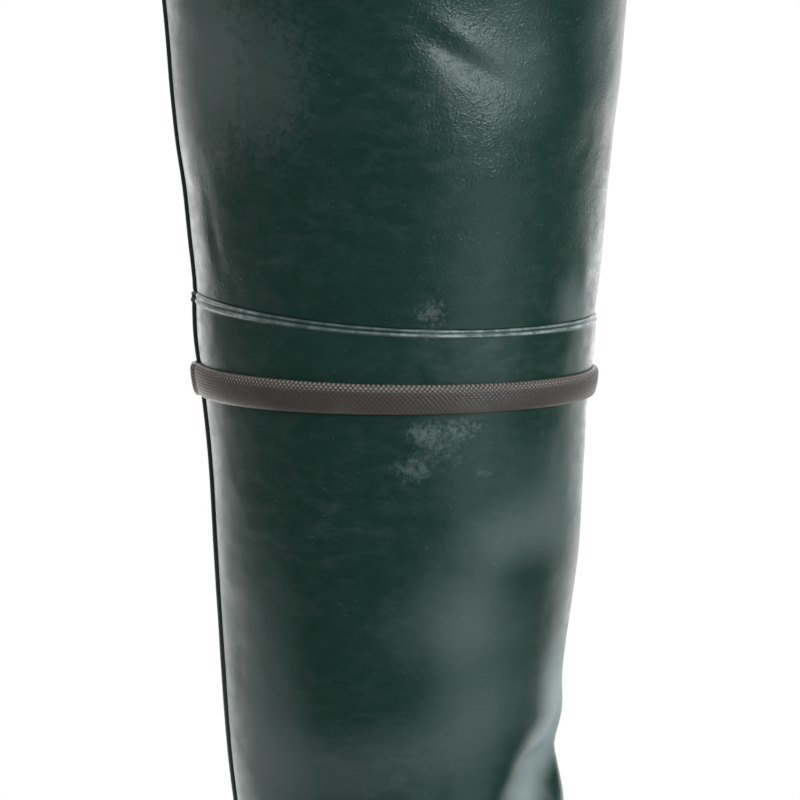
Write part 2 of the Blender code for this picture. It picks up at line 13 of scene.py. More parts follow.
import bmesh
import bpy
import numpy as np
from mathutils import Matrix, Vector


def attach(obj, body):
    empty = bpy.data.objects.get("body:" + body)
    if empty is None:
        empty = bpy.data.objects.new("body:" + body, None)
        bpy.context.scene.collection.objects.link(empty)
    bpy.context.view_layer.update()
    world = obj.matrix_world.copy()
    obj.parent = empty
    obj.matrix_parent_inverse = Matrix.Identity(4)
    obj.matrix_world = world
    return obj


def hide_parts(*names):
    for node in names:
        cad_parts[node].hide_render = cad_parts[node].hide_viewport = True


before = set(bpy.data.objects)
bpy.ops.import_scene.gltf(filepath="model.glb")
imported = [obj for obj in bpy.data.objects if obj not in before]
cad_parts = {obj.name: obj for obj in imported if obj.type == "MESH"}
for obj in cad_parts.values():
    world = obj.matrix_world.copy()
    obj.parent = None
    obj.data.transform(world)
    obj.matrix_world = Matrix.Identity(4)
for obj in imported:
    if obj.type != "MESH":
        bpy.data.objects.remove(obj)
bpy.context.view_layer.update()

log = logging.getLogger("wader")

MM = 0.001
Array = np.ndarray
Colour = tuple[float, float, float]
Triple = tuple[float, float, float]


def smoothstep(low: float, high: float, value: Array) -> Array:
    """Rise smoothly from 0 at low to 1 at high.

    Args:
        low: Value where the rise starts.
        high: Value where it ends.
        value: Values to read.

    Returns:
        The share for each value.
    """
    share = np.clip((value - low) / (high - low), 0.0, 1.0)
    return share * share * (3 - 2 * share)


def bell(value: Array, width: float) -> Array:
    """Give 1 at zero and fall off smoothly over a width."""
    return np.exp(-((value / width) ** 2))


class FootRow(NamedTuple):
    """A section of the foot, in shares of the foot's own sizes."""

    name: str
    back: float
    reach: float
    back_up: float
    front_up: float
    rear: float
    waist: float
    ball: float
    toe: float
    square: float
    follow: float
    swing: float


class LegRow(NamedTuple):
    """A section of the boot's leg, in shares of the calf's sizes."""

    name: str
    back: float
    front: float
    up: float
    depth: float
    square: float
    tilt: float
    dip: float


class ThighRow(NamedTuple):
    """A section of the tube: its rise from the collar to the top, and its growth to the top's size."""

    name: str
    rise: float
    back: float
    front: float
    depth: float


@dataclass(frozen=True)
class Section:
    """A closed section in metres: end points, half widths, roundness, and how it follows the sole."""

    back_x: float
    back_z: float
    front_x: float
    front_z: float
    rear: float
    waist: float
    ball: float
    toe: float
    square: float = 1.0
    follow: float = 0.0
    swing: float = 0.0
    dip: float = 0.0


@dataclass(frozen=True)
class Sizes:
    """Driving sizes of the wader, the same as the CAD model's."""

    foot_length: float = 297 * MM
    ball_width: float = 104 * MM
    heel_width: float = 74 * MM
    heel_length: float = 74 * MM
    instep_height: float = 138 * MM
    toe_swing: float = 7.5 * MM
    ankle_height: float = 213 * MM
    boot_height: float = 379 * MM
    calf_length: float = 145 * MM
    calf_depth: float = 124 * MM
    collar_tilt: float = 4 * MM
    collar_dip: float = 3.5 * MM
    boot_wall: float = 1.6 * MM
    wader_height: float = 790 * MM
    thigh_length: float = 228 * MM
    thigh_depth: float = 200 * MM
    thigh_lean: float = 4 * MM
    tube_wall: float = 1.2 * MM
    tube_overlap: float = 60 * MM
    band_drop: float = 29 * MM
    band_width: float = 11.2 * MM
    band_thickness: float = 2.4 * MM
    seat_height: float = 30 * MM
    forefoot_height: float = 17 * MM
    toe_spring: float = 10 * MM
    gap: float = 0.3 * MM


SIZES = Sizes()

WIDTH_STATIONS = (-0.75, -0.2, 0.4, 0.88)
SWING_SHARES = (0.0, -0.45, 0.05, 0.9)

FOOT_ROWS = (
    FootRow("feather", 0.013, 0.982, 0.000, 0.000, 0.650, 0.472, 0.500, 0.510, 0.70, 1.0, 1.00),
    FootRow("welt", 0.003, 1.000, 0.058, 0.058, 0.676, 0.492, 0.520, 0.530, 0.70, 1.0, 1.00),
    FootRow("toe wall", 0.000, 0.996, 0.140, 0.140, 0.682, 0.505, 0.525, 0.527, 0.70, 1.0, 1.00),
    FootRow("toe top", 0.003, 0.957, 0.240, 0.262, 0.676, 0.520, 0.518, 0.500, 0.70, 0.9, 1.00),
    FootRow("vamp low", 0.010, 0.876, 0.350, 0.400, 0.656, 0.527, 0.488, 0.460, 0.70, 0.7, 0.95),
    FootRow("vamp middle", 0.018, 0.732, 0.473, 0.520, 0.632, 0.520, 0.445, 0.425, 0.70, 0.5, 0.85),
    FootRow("vamp high", 0.027, 0.562, 0.600, 0.622, 0.604, 0.503, 0.400, 0.375, 0.71, 0.3, 0.70),
    FootRow("vamp top", 0.034, 0.398, 0.732, 0.735, 0.566, 0.495, 0.372, 0.348, 0.74, 0.1, 0.50),
    FootRow("instep low", 0.041, 0.264, 0.855, 0.850, 0.545, 0.500, 0.362, 0.345, 0.78, 0.0, 0.30),
    FootRow("instep", 0.046, 0.154, 0.971, 1.000, 0.540, 0.522, 0.370, 0.356, 0.82, 0.0, 0.15),
    FootRow("instep high", 0.049, 0.082, 1.190, 1.290, 0.562, 0.556, 0.396, 0.387, 0.88, 0.0, 0.05),
    FootRow("ankle low", 0.051, 0.032, 1.500, 1.650, 0.612, 0.610, 0.432, 0.428, 0.93, 0.0, 0.00),
)

LEG_ROWS = (
    LegRow("ankle fold", 0.079, 0.916, 0.000, 0.800, 0.97, -0.6, 0.0),
    LegRow("above the fold", 0.062, 0.938, 0.200, 0.850, 1.00, 0.0, 0.0),
    LegRow("calf low", 0.048, 0.971, 0.420, 0.910, 1.00, 0.0, 0.0),
    LegRow("calf high", 0.035, 0.986, 0.640, 0.955, 1.00, 0.0, 0.0),
    LegRow("under the band", 0.017, 0.998, 0.800, 0.980, 1.00, 0.0, 0.0),
    LegRow("over the band", -0.001, 1.012, 0.910, 0.998, 1.00, 0.5, 0.3),
    LegRow("collar", -0.004, 1.014, 1.000, 1.004, 1.00, 1.0, 1.0),
)

THIGH_ROWS = (
    ThighRow("over the collar", 0.026, 0.050, 0.078, 0.084),
    ThighRow("knee low", 0.092, 0.112, 0.145, 0.152),
    ThighRow("knee", 0.172, 0.200, 0.230, 0.237),
    ThighRow("knee high", 0.272, 0.272, 0.325, 0.323),
    ThighRow("thigh low", 0.520, 0.530, 0.575, 0.575),
    ThighRow("thigh middle", 0.770, 0.775, 0.805, 0.805),
    ThighRow("top", 1.000, 1.000, 1.000, 1.000),
)


def sole_line(x: Array) -> Array:
    """Height of the upper's lower edge at distances in front of the heel's back."""
    drop = smoothstep(0.22 * SIZES.foot_length, 0.62 * SIZES.foot_length, x)
    spring = np.maximum(0.0, (x - 0.72 * SIZES.foot_length) / (0.28 * SIZES.foot_length))
    level = SIZES.seat_height + (SIZES.forefoot_height - SIZES.seat_height) * drop
    return level + SIZES.toe_spring * spring**2


def tread_line(x: Array) -> Array:
    """Height of the tread at distances in front of the heel's back."""
    spring = np.maximum(0.0, (x - 0.76 * SIZES.foot_length) / (0.24 * SIZES.foot_length))
    return SIZES.toe_spring * spring**2


def foot_section(row: FootRow) -> Section:
    """Turn a row of shares into a section of the foot."""
    ankle_front = LEG_ROWS[0].front * SIZES.calf_length
    ankle_rise = SIZES.ankle_height - SIZES.instep_height
    heights = [min(up, 1.0) * SIZES.instep_height + max(up - 1.0, 0.0) * ankle_rise for up in row[3:5]]
    return Section(
        row.back * SIZES.foot_length,
        heights[0],
        ankle_front + (SIZES.foot_length - ankle_front) * row.reach,
        heights[1],
        row.rear * SIZES.heel_width,
        row.waist * SIZES.heel_width,
        row.ball * SIZES.ball_width,
        row.toe * SIZES.ball_width,
        row.square,
        row.follow,
        row.swing,
    )


def leg_section(row: LegRow, inset: float = 0.0) -> Section:
    """Turn a row of shares into a section of the leg.

    Args:
        row: The row of shares.
        inset: How far the section lies inside the boot's outer surface.

    Returns:
        The section in metres.
    """
    middle = SIZES.ankle_height + (SIZES.boot_height - SIZES.ankle_height) * row.up
    half = row.depth * SIZES.calf_depth / 2 - inset
    return Section(
        row.back * SIZES.calf_length + inset,
        middle + row.tilt * SIZES.collar_tilt,
        row.front * SIZES.calf_length - inset,
        middle - row.tilt * SIZES.collar_tilt,
        half,
        half,
        half,
        half,
        row.square,
        dip=row.dip * SIZES.collar_dip,
    )


def thigh_section(row: ThighRow) -> Section:
    """Turn a row of shares into a section of the tube above the collar."""
    collar = leg_section(LEG_ROWS[-1], SIZES.boot_wall + SIZES.gap)
    middle = (collar.back_x + collar.front_x) / 2 - SIZES.thigh_lean
    half = collar.ball + (SIZES.thigh_depth / 2 - collar.ball) * row.depth
    back = middle - SIZES.thigh_length / 2
    front = middle + SIZES.thigh_length / 2
    return Section(
        collar.back_x + (back - collar.back_x) * row.back,
        collar.back_z + (SIZES.wader_height - collar.back_z) * row.rise,
        collar.front_x + (front - collar.front_x) * row.front,
        collar.front_z + (SIZES.wader_height - collar.front_z) * row.rise,
        half,
        half,
        half,
        half,
        dip=collar.dip * float(1 - smoothstep(0.0, 0.3, np.array(row.rise))),
    )


class Form:
    """A smooth surface through a stack of sections."""

    STEP = 1e-3

    def __init__(self, sections: Sequence[Section]) -> None:
        """Keep the sections as one table."""
        self.table = np.array([astuple(section) for section in sections])
        self.last = len(sections) - 1.0

    def fields(self, place: Array) -> Array:
        """Read the section's numbers at places in the stack, from a smooth curve through them.

        Args:
            place: Places, counted in sections.

        Returns:
            One column of numbers for each place.
        """
        place = np.clip(place, 0.0, self.last)
        index = np.minimum(place.astype(int), int(self.last) - 1)
        share = (place - index)[:, None]
        before = self.table[np.maximum(index - 1, 0)]
        start = self.table[index]
        end = self.table[index + 1]
        after = self.table[np.minimum(index + 2, int(self.last))]
        bend = 2 * before - 5 * start + 4 * end - after
        twist = after - before + 3 * (start - end)
        values = start + 0.5 * share * ((end - before) + share * (bend + share * twist))
        return values.T

    def points(self, place: Array, angle: Array) -> Array:
        """Find points of the surface.

        Args:
            place: Places in the stack.
            angle: Angles from the toe, towards the inner side.

        Returns:
            The points, a row each.
        """
        back_x, back_z, front_x, front_z, *widths, square, follow, swing, dip = self.fields(place)
        along = np.cos(angle)
        across = np.sin(angle)
        share = (1 + along) / 2
        width = widths[0]
        sway = np.full_like(along, SWING_SHARES[0])
        for i in range(3):
            rise = smoothstep(WIDTH_STATIONS[i], WIDTH_STATIONS[i + 1], along)
            width = width + (widths[i + 1] - widths[i]) * rise
            sway = sway + (SWING_SHARES[i + 1] - SWING_SHARES[i]) * rise
        x = back_x + (front_x - back_x) * share
        y = np.sign(across) * np.abs(across) ** square * width + sway * SIZES.toe_swing * swing
        z = back_z + (front_z - back_z) * share + follow * sole_line(x) - dip * across**2
        return np.stack([x - SIZES.heel_length / 2, y, z], axis=1)

    def surface(self, place: Array, angle: Array) -> tuple[Array, Array]:
        """Find points of the surface and its outward normals there.

        Args:
            place: Places in the stack.
            angle: Angles from the toe.

        Returns:
            The points and the normals.
        """
        place = np.clip(place, self.STEP, self.last - self.STEP)
        around = self.points(place, angle + self.STEP) - self.points(place, angle - self.STEP)
        up = self.points(place + self.STEP, angle) - self.points(place - self.STEP, angle)
        normal = np.cross(around, up)
        normal /= np.linalg.norm(normal, axis=1, keepdims=True)
        return self.points(place, angle), normal

    def place_at(self, height: float, first: float = 0.0) -> float:
        """Find where the middle of a section reaches a height.

        Args:
            height: Height above the floor.
            first: Place to search from.

        Returns:
            The place in the stack.
        """
        low, high = first, self.last
        for _ in range(40):
            place = (low + high) / 2
            numbers = self.fields(np.array([place]))
            if (numbers[1][0] + numbers[3][0]) / 2 < height:
                low = place
            else:
                high = place
        return (low + high) / 2


BOOT_FORM = Form([foot_section(row) for row in FOOT_ROWS] + [leg_section(row) for row in LEG_ROWS])
FIRST_LEG = float(len(FOOT_ROWS))
TUBE_INSET = SIZES.boot_wall + SIZES.gap
HIDDEN_ROWS = LEG_ROWS[-4:]
TUBE_FORM = Form(
    [leg_section(row, TUBE_INSET) for row in HIDDEN_ROWS] + [thigh_section(row) for row in THIGH_ROWS]
)
TUBE_COLLAR = float(len(HIDDEN_ROWS) - 1)


class Facing(Enum):
    """Side of the leg that a crease lies on, as the direction it faces."""

    OUTER = (0.0, -1.0)
    INNER = (0.0, 1.0)
    FRONT = (1.0, 0.0)
    BACK = (-1.0, 0.0)


class Profile(Enum):
    """Shape of a crease across its run."""

    TROUGH = "a soft hollow"
    RIDGE = "a soft crest"
    FOLD = "a crest beside a hollow"


@dataclass(frozen=True)
class Crease:
    """A fold or dent of the rubber, placed on one side of the leg.

    x runs from the heel's back on the outer and inner side, and from the leg's middle plane at the
    front and back. turn is the run's angle from level, in degrees, and bow bends the run.
    """

    name: str
    facing: Facing
    profile: Profile
    x: float
    z: float
    turn: float
    length: float
    width: float
    depth: float
    bow: float = 0.0

    FOLD_SWING = 1.65 / 0.7
    SIDE_FADE = 0.3

    def height(self, points: Array, normals: Array) -> Array:
        """Work out how far the crease moves the surface along its normal.

        Args:
            points: Points of the surface.
            normals: Its normals.

        Returns:
            The distance for each point.
        """
        side_view = self.facing in (Facing.OUTER, Facing.INNER)
        level = points[:, 0] + SIZES.heel_length / 2 if side_view else points[:, 1]
        over, up = level - self.x, points[:, 2] - self.z
        cos, sin = math.cos(math.radians(self.turn)), math.sin(math.radians(self.turn))
        run = over * cos + up * sin
        off = up * cos - over * sin - self.bow * run**2 / self.length
        faces = normals[:, 0] * self.facing.value[0] + normals[:, 1] * self.facing.value[1]
        share = bell(run, self.length) * smoothstep(0.0, self.SIDE_FADE, faces)
        if self.profile is Profile.FOLD:
            return self.depth * share * self.FOLD_SWING * off / self.width * bell(off, self.width)
        sign = 1.0 if self.profile is Profile.RIDGE else -1.0
        return sign * self.depth * share * bell(off, self.width)


@dataclass(frozen=True)
class SeamStrip:
    """Raised strip down the back of the leg, with a groove along each edge."""

    half_width: float = 4.8 * MM
    edge: float = 1.1 * MM
    raise_height: float = 1.5 * MM
    groove: float = 1.1 * MM
    groove_width: float = 0.9 * MM
    crown_drop: float = 0.25
    shadow_width: float = 1.53 * MM
    zone: float = 9.0 * MM

    def height(self, distance: Array) -> Array:
        """Give the relief at distances from the strip's middle."""
        far = np.abs(distance)
        crown = self.raise_height * (1 - self.crown_drop * (far / self.half_width) ** 2)
        strip = crown * (1 - smoothstep(self.half_width - self.edge, self.half_width, far))
        return strip - self.groove * bell(far - self.half_width - self.groove_width, self.groove_width)

    def shadow(self, distance: Array) -> Array:
        """Give how dark the painted shadow in the groove at the seam's edge is, at distances from the strip's
        middle.
        """
        return bell(np.abs(distance) - self.half_width - 1.1 * self.groove_width, self.shadow_width)


TUBE_CREASES = (
    Crease("knee dent", Facing.OUTER, Profile.FOLD, 98 * MM, 473 * MM, -35, 15 * MM, 4.1 * MM, 1.4 * MM),
    Crease("knee floor", Facing.OUTER, Profile.TROUGH, 103 * MM, 467 * MM, -38, 16 * MM, 6 * MM, 0.4 * MM),
    Crease("knee hollow", Facing.OUTER, Profile.TROUGH, 110 * MM, 487 * MM, -48, 42 * MM, 20 * MM, 2.2 * MM),
    Crease("knee swell", Facing.OUTER, Profile.RIDGE, 96 * MM, 436 * MM, -20, 30 * MM, 20 * MM, 1.4 * MM),
    Crease("back line", Facing.OUTER, Profile.TROUGH, 8 * MM, 405 * MM, -80, 20 * MM, 1.6 * MM, 0.5 * MM),
    Crease("shin pucker", Facing.OUTER, Profile.RIDGE, 141 * MM, 388 * MM, 84, 12 * MM, 2.4 * MM, 0.7 * MM),
    Crease("front sag", Facing.FRONT, Profile.FOLD, -12 * MM, 450 * MM, 8, 40 * MM, 16 * MM, 0.35 * MM),
    Crease("front tuck", Facing.FRONT, Profile.TROUGH, 10 * MM, 417 * MM, -10, 30 * MM, 9 * MM, 0.4 * MM),
    Crease("knee back", Facing.BACK, Profile.TROUGH, 26 * MM, 462 * MM, 14, 24 * MM, 12 * MM, 0.5 * MM),
    Crease("knee back low", Facing.BACK, Profile.FOLD, -28 * MM, 432 * MM, -12, 22 * MM, 12 * MM, 0.4 * MM),
    Crease("inner dent", Facing.INNER, Profile.TROUGH, 66 * MM, 447 * MM, 24, 30 * MM, 8 * MM, 1.4 * MM),
    Crease("inner sag", Facing.INNER, Profile.FOLD, 92 * MM, 512 * MM, -16, 42 * MM, 14 * MM, 1.3 * MM),
    Crease("inner swell", Facing.INNER, Profile.RIDGE, 50 * MM, 580 * MM, 58, 60 * MM, 22 * MM, 1.6 * MM),
    Crease("thigh drape", Facing.OUTER, Profile.TROUGH, 46 * MM, 590 * MM, 70, 60 * MM, 18 * MM, 1.6 * MM),
    Crease("thigh bulge", Facing.OUTER, Profile.RIDGE, 120 * MM, 575 * MM, 76, 52 * MM, 20 * MM, 1.5 * MM),
    Crease("thigh fold", Facing.FRONT, Profile.FOLD, -30 * MM, 560 * MM, 34, 40 * MM, 13 * MM, 1.2 * MM),
    Crease("thigh dimple", Facing.OUTER, Profile.TROUGH, 84 * MM, 640 * MM, -18, 26 * MM, 9 * MM, 1.1 * MM),
    Crease("thigh back", Facing.BACK, Profile.TROUGH, 34 * MM, 610 * MM, 62, 46 * MM, 12 * MM, 1.4 * MM),
)

BOOT_CREASES = (
    Crease("calf swell", Facing.OUTER, Profile.RIDGE, 122 * MM, 291 * MM, -8, 22 * MM, 19 * MM, 1.7 * MM),
    Crease("shin hollow", Facing.OUTER, Profile.TROUGH, 118 * MM, 266 * MM, 24, 22 * MM, 11 * MM, 1.0 * MM),
    Crease("leg diagonal", Facing.OUTER, Profile.RIDGE, 96 * MM, 268 * MM, 62, 34 * MM, 13 * MM, 1.2 * MM),
    Crease("shin crest", Facing.FRONT, Profile.RIDGE, 0 * MM, 226 * MM, 0, 46 * MM, 10 * MM, 2.2 * MM),
    Crease("ankle notch", Facing.FRONT, Profile.TROUGH, -8 * MM, 211 * MM, 6, 34 * MM, 4.5 * MM, 0.8 * MM),
    Crease("ankle fold", Facing.OUTER, Profile.TROUGH, 128 * MM, 202 * MM, 60, 24 * MM, 10 * MM, 7.6 * MM),
    Crease("ankle side", Facing.OUTER, Profile.FOLD, 88 * MM, 186 * MM, 30, 24 * MM, 8 * MM, 1.0 * MM),
    Crease("ankle inner", Facing.INNER, Profile.TROUGH, 118 * MM, 206 * MM, 40, 20 * MM, 6 * MM, 1.7 * MM),
    Crease("ankle inner low", Facing.INNER, Profile.FOLD, 84 * MM, 184 * MM, 24, 24 * MM, 8 * MM, 1.0 * MM),
    Crease("instep low fold", Facing.FRONT, Profile.TROUGH, 4 * MM, 187 * MM, -5, 30 * MM, 6 * MM, 1.1 * MM),
    Crease("calf back", Facing.BACK, Profile.TROUGH, 30 * MM, 262 * MM, 12, 22 * MM, 10 * MM, 0.8 * MM),
    Crease("calf inner", Facing.INNER, Profile.TROUGH, 70 * MM, 285 * MM, -24, 34 * MM, 14 * MM, 1.0 * MM),
)


class RowSpec(NamedTuple):
    """A row of a shell: its place on the form, how far out it lies, how much relief it takes, and its share of
    the collar's pale lines, which are wear and partly painted highlight.
    """

    place: float
    out: float
    relief: float
    # share of the collar's pale lines: wear, and partly painted highlight
    wear_and_highlight_share: float = 0.0


@dataclass(frozen=True)
class Columns:
    """Columns of a shell: regular ones round the leg, and close ones over the seam strip."""

    regular: int = 72
    close: int = 13
    bunching: float = 0.10
    strip: SeamStrip = SeamStrip()

    @property
    def count(self) -> int:
        """Number of faces round the shell."""
        return 2 * (self.regular + self.close)

    def angles(self, rear: Array, square: Array, column: Array) -> tuple[Array, Array]:
        """Find the angle of each vertex, and its distance from the strip's middle.

        Args:
            rear: Half width of the section's back at each vertex.
            square: Roundness of the section.
            column: Column number of each vertex.

        Returns:
            The angles, and the distances, capped at the strip's zone.
        """
        half = self.regular + self.close
        side = np.where(column <= half, 1.0, -1.0)
        index = np.where(column <= half, column, 2 * half - column)

        def from_back(distance: Array) -> Array:
            return np.pi - np.arcsin((distance / rear) ** (1 / square))

        share = index / self.regular
        bunched = share - self.bunching * np.sin(2 * np.pi * share) / np.pi
        distance = np.clip((half - index) / self.close, 0.0, 1.0) * self.strip.zone
        angle = np.where(index <= self.regular, from_back(self.strip.zone) * bunched, from_back(distance))
        return side * angle, distance


def select_none() -> None:
    """Clear the selection, so that the next operator acts on the new piece alone."""
    if bpy.context.object and bpy.context.object.mode != "OBJECT":
        bpy.ops.object.mode_set(mode="OBJECT")
    bpy.ops.object.select_all(action="DESELECT")


def pick(piece: bpy.types.Object) -> None:
    """Make a piece the only selected one."""
    select_none()
    piece.select_set(True)
    bpy.context.view_layer.objects.active = piece


def apply_all(piece: bpy.types.Object) -> None:
    """Apply a piece's modifiers, one after another."""
    pick(piece)
    for modifier in list(piece.modifiers):
        bpy.ops.object.modifier_apply(modifier=modifier.name)


def weld(piece: bpy.types.Object, distance: float = 0.01 * MM) -> None:
    """Merge the vertices that lie on each other."""
    pick(piece)
    bpy.ops.object.mode_set(mode="EDIT")
    bpy.ops.mesh.select_all(action="SELECT")
    bpy.ops.mesh.remove_doubles(threshold=distance)
    bpy.ops.object.mode_set(mode="OBJECT")


def face_outwards(piece: bpy.types.Object) -> None:
    """Turn a closed shell's faces outwards."""
    build = bmesh.new()
    build.from_mesh(piece.data)
    if build.calc_volume(signed=True) < 0:
        bmesh.ops.reverse_faces(build, faces=build.faces)
        build.to_mesh(piece.data)
    build.free()


def add_sheet(name: str, across: int, along: int, place: Callable[[Array, Array], Array]) -> bpy.types.Object:
    """Add a flat grid and wrap it round a form.

    Args:
        name: Name of the piece.
        across: Number of faces across the grid.
        along: Number of faces along it.
        place: Gives the points for column and row numbers.

    Returns:
        The new piece, with the grid's own UV map.
    """
    select_none()
    bpy.ops.mesh.primitive_grid_add(x_subdivisions=across, y_subdivisions=along, size=1.0, calc_uvs=True)
    piece = bpy.context.active_object
    piece.name = name
    mesh = piece.data
    mesh.name = name
    flat = np.empty(3 * len(mesh.vertices))
    mesh.vertices.foreach_get("co", flat)
    flat = flat.reshape(-1, 3)
    column = np.rint((flat[:, 0] + 0.5) * across)
    row = np.rint((flat[:, 1] + 0.5) * along)
    mesh.vertices.foreach_set("co", place(column, row).ravel())
    mesh.update()
    return piece


def add_table(name: str, table: Array) -> bpy.types.Object:
    """Add a sheet from a table of points.

    Args:
        name: Name of the piece.
        table: Its points, shaped rows by columns by 3.

    Returns:
        The new piece.
    """
    rows, columns = table.shape[:2]

    def place(column: Array, row: Array) -> Array:
        return table[row.astype(int), column.astype(int)]

    return add_sheet(name, columns - 1, rows - 1, place)


def keep_values(piece: bpy.types.Object, name: str, values: Array) -> None:
    """Keep one number for each vertex as an attribute that a material reads.

    Args:
        piece: The piece.
        name: Name of the attribute.
        values: The numbers.
    """
    layer = piece.data.attributes.new(name, "FLOAT", "POINT")
    layer.data.foreach_set("value", values.astype(np.float32))


def add_bevel(piece: bpy.types.Object, width: float, segments: int, limit: float) -> None:
    """Round a piece's sharp edges.

    Args:
        piece: The piece.
        width: Width of the bevel.
        segments: Number of its steps.
        limit: Edges sharper than this are rounded, in degrees.
    """
    bevel = piece.modifiers.new("edges", "BEVEL")
    bevel.width = width
    bevel.segments = segments
    bevel.limit_method = "ANGLE"
    bevel.angle_limit = math.radians(limit)


def set_uv(piece: bpy.types.Object, width: float, heights: Array) -> None:
    """Stretch the grid's UV map to metres, so that patterns keep their real size.

    Args:
        piece: The wrapped sheet.
        width: Length round the sheet.
        heights: Distance along the sheet of each row.
    """
    layer = piece.data.uv_layers.active.data
    values = np.empty(2 * len(layer))
    layer.foreach_get("uv", values)
    values = values.reshape(-1, 2)
    values[:, 1] = np.interp(values[:, 1] * (len(heights) - 1), np.arange(len(heights)), heights)
    values[:, 0] *= width
    layer.foreach_set("uv", values.ravel())


def finish_piece(piece: bpy.types.Object, nodes: Sequence[str], angle: float = 40.0) -> None:
    """Shade a piece and register it in the frame.

    Args:
        piece: The finished piece.
        nodes: CAD nodes that it stands for.
        angle: Edges sharper than this stay sharp, in degrees.
    """
    pick(piece)
    bpy.ops.object.shade_smooth_by_angle(angle=math.radians(angle))
    select_none()
    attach(piece, "root")
    if nodes:
        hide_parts(*nodes)
    log.info("%s: %d faces, replaces %s", piece.name, len(piece.data.polygons), ", ".join(nodes) or "nothing")


class Sockets:
    """Short way to add nodes to one tree."""

    def __init__(self, tree: bpy.types.NodeTree) -> None:
        """Keep the tree."""
        self.tree = tree

    def add(self, kind: str, links: dict | None = None, **settings: object) -> bpy.types.Node:
        """Add a node.

        Args:
            kind: The node's type name, without its ShaderNode prefix.
            links: Input name or number to a value or a socket.
            settings: Properties of the node.

        Returns:
            The node.
        """
        node = self.tree.nodes.new("ShaderNode" + kind)
        for name, value in settings.items():
            setattr(node, name, value)
        self.feed(node, links or {})
        return node

    def feed(self, node: bpy.types.Node, links: dict) -> None:
        """Link a node's inputs to sockets or set them to values.

        Args:
            node: The node.
            links: Input name or number to a value or a socket.
        """
        for key, value in links.items():
            if isinstance(value, bpy.types.NodeSocket):
                self.tree.links.new(value, node.inputs[key])
            else:
                node.inputs[key].default_value = value

    def noise(
        self, vector: object, scale: object, detail: float, roughness: float = 0.5, **more: object
    ) -> bpy.types.NodeSocket:
        """Add a noise texture and give its value."""
        links = {"Vector": vector, "Scale": scale, "Detail": detail, "Roughness": roughness, **more}
        return self.add("TexNoise", links).outputs["Fac"]

    def attribute(self, name: str) -> bpy.types.NodeSocket:
        """Give the number that a piece keeps for each vertex."""
        return self.add("Attribute", attribute_name=name).outputs["Fac"]

    def vector(self, operation: str, *values: object) -> bpy.types.Node:
        """Add a node of vector arithmetic."""
        return self.add("VectorMath", dict(enumerate(values)), operation=operation)

    def math(self, operation: str, *values: object) -> bpy.types.NodeSocket:
        """Add a math node and give its output."""
        links = dict(enumerate(values))
        return self.add("Math", links, operation=operation).outputs[0]

    def ramp(
        self, value: object, low: float, high: float, bottom: float = 0.0, top: float = 1.0
    ) -> bpy.types.NodeSocket:
        """Map a value smoothly from one range to another and give the output."""
        links = {"Value": value, "From Min": low, "From Max": high, "To Min": bottom, "To Max": top}
        return self.add("MapRange", links, interpolation_type="SMOOTHSTEP").outputs[0]

    def mix(self, share: object, first: object, second: Colour) -> bpy.types.NodeSocket:
        """Mix a colour, given as a socket or as three numbers, with a second one and give the output."""
        start = first if isinstance(first, bpy.types.NodeSocket) else (*first, 1)
        return self.add("Mix", {0: share, 6: start, 7: (*second, 1)}, data_type="RGBA").outputs[2]


class NodeGroup:
    """A shader node group that several materials share."""

    def __init__(self, name: str, inputs: dict[str, object], outputs: Sequence[str]) -> None:
        """Make the group's tree and its sockets.

        Args:
            name: Name of the group.
            inputs: Input names and their first values, None for a vector.
            outputs: Names of the outputs.
        """
        self.tree = bpy.data.node_groups.new(name, "ShaderNodeTree")
        for label, value in inputs.items():
            kind = "NodeSocketVector" if value is None else "NodeSocketFloat"
            socket = self.tree.interface.new_socket(label, in_out="INPUT", socket_type=kind)
            if value is not None:
                socket.default_value = value
        for label in outputs:
            self.tree.interface.new_socket(label, in_out="OUTPUT", socket_type="NodeSocketFloat")
        self.start = self.tree.nodes.new("NodeGroupInput")
        self.end = self.tree.nodes.new("NodeGroupOutput")
        self.nodes = Sockets(self.tree)

    def put(self, label: str, socket: bpy.types.NodeSocket) -> None:
        """Send a socket to an output."""
        self.tree.links.new(socket, self.end.inputs[label])

    def use(self, nodes: Sockets, links: dict[str, object]) -> bpy.types.Node:
        """Place the group in a material's tree."""
        return nodes.add("Group", links, node_tree=self.tree)


def grain_group() -> NodeGroup:
    """Fine leathery grain of short wrinkles and small pits, and the rubber's slow unevenness, from 0 to 1."""
    pit_scale, slow_scale = 900.0, 34.0
    inputs = {"Vector": None, "Wrinkle Scale": 230.0, "Pits": 0.3}
    group = NodeGroup("rubber_grain", inputs, ["Grain", "Slow"])
    nodes, start = group.nodes, group.start.outputs
    links = {"Vector": start["Vector"], "Scale": start["Wrinkle Scale"], "Detail": 3.0, "Roughness": 0.6}
    wrinkles = nodes.add("TexNoise", {**links, "Distortion": 0.7}, noise_type="RIDGED_MULTIFRACTAL")
    pits = nodes.noise(start["Vector"], pit_scale, 2.0)
    ridges = nodes.math("MULTIPLY", wrinkles.outputs["Fac"], 0.6)
    group.put("Grain", nodes.math("MULTIPLY_ADD", pits, start["Pits"], ridges))
    group.put("Slow", nodes.noise(start["Vector"], slow_scale, 2.0))
    return group


